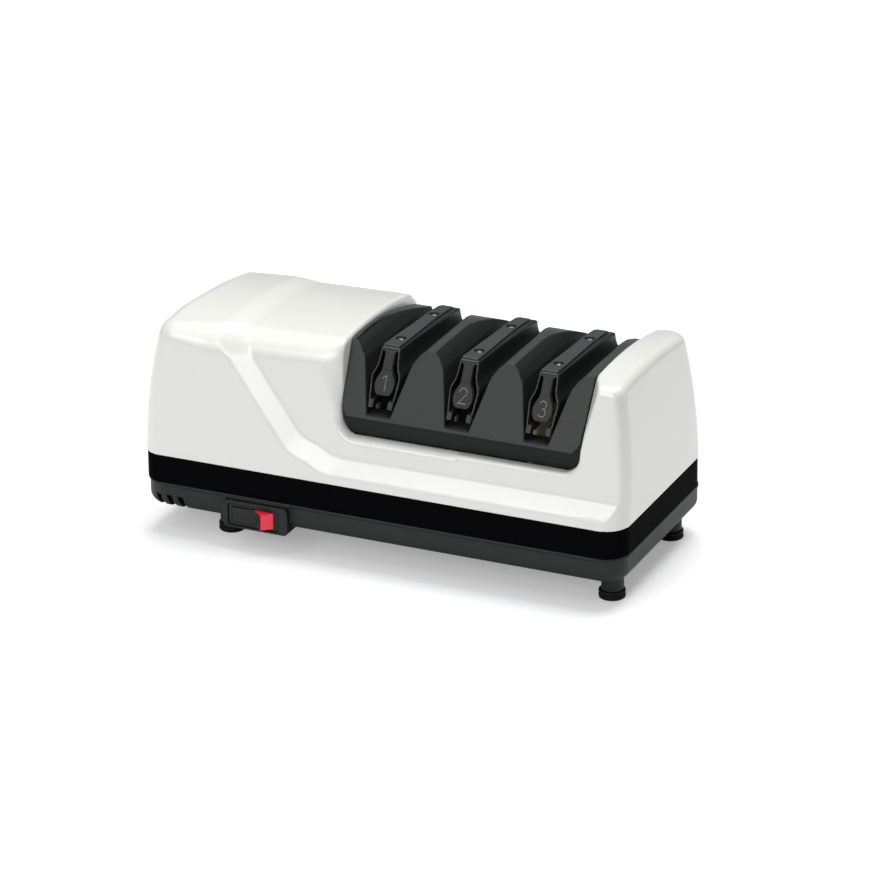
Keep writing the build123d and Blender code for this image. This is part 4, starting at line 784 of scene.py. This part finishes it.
def digit(number, u, v):
    """Distance to the strokes of a guide's number, drawn about its middle, 7 high."""
    if number == 1:
        upright = stroke(u, v, (0.6, -3.4), (0.6, 3.4))
        return np.minimum(upright, stroke(u, v, (0.6, 3.4), (-1.4, 2.0)))
    if number == 2:
        arc = abs(np.hypot(u, v - 1.5) - 1.9)
        arc = np.where((v < 1.5) & (u < 0), np.hypot(u + 1.9, v - 1.5), arc)
        arc = np.where((v < 0.6) & (u > 0), np.hypot(u - 1.67, v - 0.6), arc)
        tail = stroke(u, v, (1.67, 0.6), (-1.9, -3.4))
        tail = np.minimum(tail, stroke(u, v, (-1.9, -3.4), (2.0, -3.4)))
        return np.minimum(arc, tail)
    upper = abs(np.hypot(u, v - 1.7) - 1.7)
    upper = np.where((u < 0) & (v < 2.2), np.hypot(u + 1.6, v - 2.2), upper)
    upper = np.where((u <= 0) & (v < 1.7), OUTSIDE, upper)
    lower = abs(np.hypot(u, v + 1.7) - 1.75)
    lower = np.where((u < 0) & (v > -2.2), OUTSIDE, lower)
    return np.minimum(upper, lower)


def arm_top(y):
    """Height of the springs' tops at depth y."""
    return np.interp(y, *zip(*SPRING_TOP))


def bridge(sx):
    """Field of the stage's numbered plate, its rib and the post at the back."""
    heights, halves = zip(*PADDLE)

    def field(x, y, z):
        face = ridge_face(y, z)
        off = abs(x - sx)
        half = np.interp(z, heights, halves)
        top = z - arm_top(y) + SPRING_THICK
        plate = both((off - half) * 0.93, np.maximum(face, -face - PLATE_THICK), 0.45)
        plate = both(plate, PLATE_FOOT - z, 0.8)
        rib = both(off - RIB_HALF, np.maximum(RIB_FOOT - z, face), FINE_R)
        post = np.maximum(off - RIB_HALF, np.maximum(POST_FRONT - y, INSERT_LEDGE - z))
        form = either(either(plate, rib, 0.5), post)
        form = np.maximum(both(form, top, FINE_R), y - BRIDGE_REAR)
        form = np.maximum(form, (y - BRIDGE_REAR + top + BRIDGE_CHAMFER) * 0.7)
        foot = box(
            x, y, z,
            (sx - SEAT_HALF, POST_FRONT, INSERT_LEDGE),
            (sx + SEAT_HALF, BRIDGE_REAR, INSERT_LEDGE + SEAT_TALL), 0.6,
        )
        return either(form, foot, 0.4)

    return field


def figure(number, sx):
    """Field of the raised number on the stage's plate."""
    def field(x, y, z):
        face = ridge_face(y, z)
        up = (z - FIGURE_Z) / cos(RIDGE_LEAN) / FIGURE_STRETCH
        return both(digit(number, x - sx, up) - DIGIT_HALF, slab(face, -0.5, DIGIT_PROUD), 0.1)

    return field


def spring(sx):
    """Field of the stage's folded sheet: two arms under a roof, with toes at the foot."""
    heights, outs = zip(*SPRING_OUT)

    def field(x, y, z):
        top = z - arm_top(y)
        face = ridge_face(y, z)
        off = abs(x - sx)
        out = np.interp(z, heights, outs) + SPRING_WIDER * blend(y, *SPRING_WIDER_Y)
        shape = np.maximum(np.maximum(face, top), SPRING_FOOT - z)
        outer = both((off - out) * 0.9, shape, SPRING_EDGE_R)
        outer = both(outer, y - ARM_REAR, ARM_REAR_R)
        inner = np.maximum((off - out + SPRING_THICK) * 0.9, top + SPRING_ROOF)
        sheet = less(outer, inner, 0.2)
        toes = np.maximum(np.maximum(slab(off, *TOE_OFF), slab(z, *TOE_Z)), face)
        toes = np.maximum(toes, y - ARM_REAR + 0.1)
        sheet = either(sheet, toes, FINE_R)
        wheel = np.hypot(y - SHAFT_Y, z - SHAFT_Z) - DISK_ROOM
        sheet = less(sheet, wheel, 0.2)
        free = SEAT_HALF + SEAT_GAP
        seat = box(
            x, y, z,
            (sx - free, POST_FRONT - SEAT_GAP, 70),
            (sx + free, BRIDGE_REAR + SEAT_GAP, SPRING_FREE),
        )
        return less(sheet, seat)

    return field


def clamp(sx):
    """Field of the stage's strip, with a pocket and a bore for each screw."""
    def field(x, y, z):
        up = z - arm_top(y)
        off = abs(x - sx) - STRIP_HALF + STRIP_TAPER * blend(y, *STRIP_TAPER_Y)
        ends = np.maximum(ridge_face(y, z) + 0.3, y - STRIP_REAR)
        strip = both(np.maximum(off, ends), slab(up, STRIP_GAP, STRIP_THICK), 0.35)
        for sy in CLAMP_SCREWS:
            radius = np.hypot(x - sx, y - sy)
            strip = less(strip, np.maximum(radius - POCKET_R, POCKET_FLOOR - up), 0.15)
            strip = less(strip, radius - BORE_R)
        return strip

    return field


def clamp_screw(sx, sy):
    """Field of one screw with a domed head and a cross recess."""
    seat = float(arm_top(sy))

    def field(x, y, z):
        up = z - arm_top(y)
        radius = np.hypot(x - sx, y - sy)
        dome = slab(up, STRIP_GAP, HEAD_TALL - HEAD_DOME * radius ** 2)
        head = both(radius - HEAD_R, dome, 0.2)
        cross = np.minimum(
            np.maximum(abs(x - sx) - CROSS_HALF, abs(y - sy) - CROSS_REACH),
            np.maximum(abs(y - sy) - CROSS_HALF, abs(x - sx) - CROSS_REACH),
        )
        head = less(head, np.maximum(cross, CROSS_FLOOR - up), 0.05)
        shank = np.maximum(radius - SHANK_R, slab(z, seat - SHANK_DOWN, seat + SHANK_UP))
        return np.minimum(head, shank)

    return field


for number, sx in enumerate(STAGES, start=1):
    rib = mold(f"guide_rib_{number}", bridge(sx), (sx - 7, -47, 76), (sx + 7, 41.5, 106.5), 0.4)
    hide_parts(f"guide_bridge_{number}")
    dress(rib, RIB_CHARCOAL)
    mark = mold(
        f"guide_figure_{number}", figure(number, sx), (sx - 3.5, -47, 85), (sx + 3.5, -34, 96), 0.14
    )
    dress(mark, FIGURE_GREY)
    leaf = mold(f"guide_leaf_{number}", spring(sx), (sx - 9, -47, 79), (sx + 9, 43, 107.2), 0.45)
    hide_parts(f"guide_spring_{number}")
    dress(leaf, SPRING_BLACK)
    # Painted highlight on the spring's upper front edges
    second_finish(leaf, EDGE_HIGHLIGHT, lambda place, facing: facing.y < -0.7 and place.z > SPRING_HIGHLIGHT_Z)
    strip = mold(
        f"guide_strip_{number}", clamp(sx), (sx - 5, -34, 102), (sx + 5, 36.5, 108.4), 0.35
    )
    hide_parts(f"guide_clamp_{number}")
    dress(strip, STRIP_GREY)
    # Painted shade in the pockets round the screws
    second_finish(strip, SHADE_BLACK, lambda place, facing, sx=sx: any(
        (place.x - sx) ** 2 + (place.y - MID_Y - sy) ** 2 < POCKET_SHADE ** 2 for sy in CLAMP_SCREWS
    ))

screws = mold_set("strip_screws", [
    cast(
        clamp_screw(sx, sy),
        (sx - 2.4, sy - 2.4, arm_top(sy) - 6), (sx + 2.4, sy + 2.4, arm_top(sy) + 1.6), 0.2,
    )
    for sx in STAGES for sy in CLAMP_SCREWS
])
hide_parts("clamp_screws")
dress(screws, SCREW_BLACK)

# ---------------------------------------------------------------- switch
ROCKER_V, ROCKER_TIP = -63.4, -58.2     # where the key's face starts to rise, and its tip
KEY_HALF_Z, KEY_PROUD = 4.05, 4.0
RISE_RUN, FALL_RUN = 5.2, 4.8
DRUM_R, DRUM_DEEP, DRUM_START = 11.1, 6.5, 1.0
HOUSING_PLAN, HOUSING_SET_BACK = (13.3, 5.6, 1.2), 0.6
KEY_WELL, KEY_WELL_REAR = (11.3, 4.25, 0.3), -49
KEY_RED_SIDE = 3.85                 # further out, the rising half's sides are red


def rocker(x, y, z):
    """Key with a flat left half, a right half that rises to a tip, and a round back."""
    tall = abs(z - ROCKER_Z) - KEY_HALF_Z
    rising = (BOSS_FACE - y) - (x - ROCKER_V) * KEY_PROUD / RISE_RUN
    falling = (BOSS_FACE - KEY_PROUD - y) + (x - ROCKER_TIP) * KEY_PROUD / FALL_RUN
    front = np.where(x < ROCKER_V, BOSS_FACE - y, np.maximum(rising * 0.79, falling * 0.77))
    drum = np.hypot(x - ROCKER_X, (y - BOSS_FACE - DRUM_START) * DRUM_R / DRUM_DEEP) - DRUM_R
    drum = np.where(y < BOSS_FACE + DRUM_START, abs(x - ROCKER_X) - DRUM_R, drum * 0.6)
    return both(both(front, drum, FINE_R), tall, 0.35)


key = mold("rocker_key", rocker, (-77, -63, 12.5), (-52, -49, 22.5), 0.22, body="rocker")
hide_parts("switch_rocker")
dress(key, SWITCH_BLACK)
second_finish(key, ROCKER_RED, lambda place, facing: place.x > ROCKER_TIP or (
    place.x > ROCKER_V and abs(place.z - ROCKER_Z) > KEY_RED_SIDE
))


def frame_of_switch(x, y, z):
    """Housing of the switch with a well for the key."""
    block = both(
        rectangle(x - ROCKER_X, z - ROCKER_Z, *HOUSING_PLAN),
        slab(y, BOSS_FACE + HOUSING_SET_BACK, BOSS_REAR), FINE_R,
    )
    well = np.maximum(rectangle(x - ROCKER_X, z - ROCKER_Z, *KEY_WELL), y - KEY_WELL_REAR)
    return less(block, well, 0.25)


surround = mold("switch_surround", frame_of_switch, (-79, -59, 11), (-50, -37, 24), 0.4)
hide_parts("switch_body")
dress(surround, SWITCH_BLACK)

# ---------------------------------------------------------------- feet
PAD_R, PAD_TALL, PAD_EDGE_R = 6.5, 4.3, 0.7
GROOVE_R, GROOVE_Z, GROOVE_CUT = 6.6, 2.3, 0.55
PLUG_R, PLUG_Z = 2.6, (4, 9.3)


def foot(fx, fy):
    """Field of a rubber foot with a groove round it and a plug into its post."""
    def field(x, y, z):
        radius = np.hypot(x - fx, y - fy)
        body = both(radius - PAD_R, slab(z, 0, PAD_TALL), PAD_EDGE_R)
        groove = np.hypot(radius - GROOVE_R, z - GROOVE_Z) - GROOVE_CUT
        return np.minimum(less(body, groove, 0.1), np.maximum(radius - PLUG_R, slab(z, *PLUG_Z)))

    return field


for word, (fx, fy) in zip(("left_front", "left_rear", "right_front", "right_rear"), FEET):
    pad = mold(f"foot_pad_{word}", foot(fx, fy), (fx - 8, fy - 8, -0.5), (fx + 8, fy + 8, 10), 0.4)
    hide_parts(f"foot_{word}")
    dress(pad, RUBBER)

# ---------------------------------------------------------------- carried-over nodes
CARRIED = {
    SCREW_BLACK: ["housing_screws"],
    STEEL: ["drive_shaft", "drive_pins", "disk_spring_1", "disk_spring_2", "disk_spring_3",
            "motor_bolts", "bracket_screws", "hatch_pin", "lever_pin"],
    DIAMOND: ["disk_1_left", "disk_1_right", "disk_2_left", "disk_2_right"],
    STROP: ["disk_3_left", "disk_3_right"],
    ALLOY: ["motor_bracket_left", "motor_bracket_right", "end_bracket"],
    BRONZE: ["bush_left", "bush_middle", "bush_end"],
    BRASS: ["switch_terminals"],
    COPPER: ["motor_coil"],
    IRON: ["motor_stack", "motor_rotor"],
    MAGNET: ["filings_magnet"],
    NYLON: ["coil_bobbin", "cooling_fan"],
    STONE: ["dressing_pad"],
    RUBBER: ["motor_pads", "cord_gland"],
    TRAY_GREY: ["cleanout_hatch"],
    SWITCH_BLACK: ["dressing_lever", "lever_bezel"],
}
for material, names in CARRIED.items():
    for name in names:
        dress(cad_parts[name], material)

# ---------------------------------------------------------------- studio
FLOOR_HALF = 6.0        # metres, as all lengths of the studio
FLOOR_GLOW = 0.3        # seen by the camera and through clear pieces only
ROOM_LIGHT = 0.22       # the world's share of the light; the camera sees it at full strength
AIM = (0, 0, 0.05)


def add_floor():
    """Pale paper floor that keeps the object's shadow."""
    mesh = bpy.data.meshes.new("floor")
    corners = [(-1, -1), (1, -1), (1, 1), (-1, 1)]
    mesh.from_pydata([(a * FLOOR_HALF, b * FLOOR_HALF, 0) for a, b in corners], [], [(0, 1, 2, 3)])
    floor = bpy.data.objects.new("floor", mesh)
    bpy.context.scene.collection.objects.link(floor)
    material = bpy.data.materials.new("paper_floor")
    material.use_nodes = True
    nodes, links = material.node_tree.nodes, material.node_tree.links
    shader = nodes["Principled BSDF"]
    shader.inputs["Base Color"].default_value = (0.86, 0.86, 0.87, 1)
    shader.inputs["Roughness"].default_value = 0.9
    shader.inputs["Specular IOR Level"].default_value = 0.1
    rays = nodes.new("ShaderNodeLightPath")
    glow = nodes.new("ShaderNodeEmission")
    glow.inputs["Color"].default_value = (1, 1, 1, 1)
    lift = nodes.new("ShaderNodeMath")
    lift.operation = "MULTIPLY"
    lift.inputs[1].default_value = FLOOR_GLOW
    seen = nodes.new("ShaderNodeMath")
    seen.operation = "MAXIMUM"
    links.new(rays.outputs["Is Camera Ray"], seen.inputs[0])
    links.new(rays.outputs["Is Transmission Ray"], seen.inputs[1])
    links.new(seen.outputs["Value"], lift.inputs[0])
    links.new(lift.outputs["Value"], glow.inputs["Strength"])
    total = nodes.new("ShaderNodeAddShader")
    links.new(shader.outputs["BSDF"], total.inputs[0])
    links.new(glow.outputs["Emission"], total.inputs[1])
    links.new(total.outputs["Shader"], nodes["Material Output"].inputs["Surface"])
    mesh.materials.append(material)


def add_world():
    """White background that lights the object only a little."""
    world = bpy.data.worlds.new("studio")
    world.use_nodes = True
    nodes, links = world.node_tree.nodes, world.node_tree.links
    background = nodes["Background"]
    background.inputs["Color"].default_value = (0.97, 0.98, 1.0, 1)
    rays = nodes.new("ShaderNodeLightPath")
    level = nodes.new("ShaderNodeMapRange")
    level.inputs["To Min"].default_value = ROOM_LIGHT
    level.inputs["To Max"].default_value = 1.0
    links.new(rays.outputs["Is Camera Ray"], level.inputs["Value"])
    links.new(level.outputs["Result"], background.inputs["Strength"])
    bpy.context.scene.world = world


def add_light(name, place, aim, width, height, power, roll=0.0):
    """Rectangular lamp at place, facing aim and turned by roll degrees about that line."""
    data = bpy.data.lights.new(name, "AREA")
    data.shape = "RECTANGLE"
    data.size, data.size_y = width, height
    data.energy = power
    lamp = bpy.data.objects.new(name, data)
    place, aim = Vector(place), Vector(aim)
    turn = (aim - place).to_track_quat("-Z", "Y").to_matrix().to_4x4()
    lamp.matrix_world = Matrix.Translation(place) @ turn @ Matrix.Rotation(radians(roll), 4, "Z")
    bpy.context.scene.collection.objects.link(lamp)


add_floor()
add_world()
add_light("top", (0.05, 0.42, 1.5), AIM, 1.2, 0.9, 24)
add_light("high", (-0.67, -0.67, 1.5), AIM, 0.95, 0.95, 4)
add_light("front", (-0.2, -1.6, 0.9), AIM, 1.6, 1.0, 6)
add_light("ramp", (-0.19, -1.47, 0.79), AIM, 1.35, 0.36, 5, roll=-27)
add_light("side", (1.3, 0.8, 0.4), (0.05, 0, 0.05), 0.6, 0.6, 0.3)
bpy.context.scene.view_settings.view_transform = "Standard"
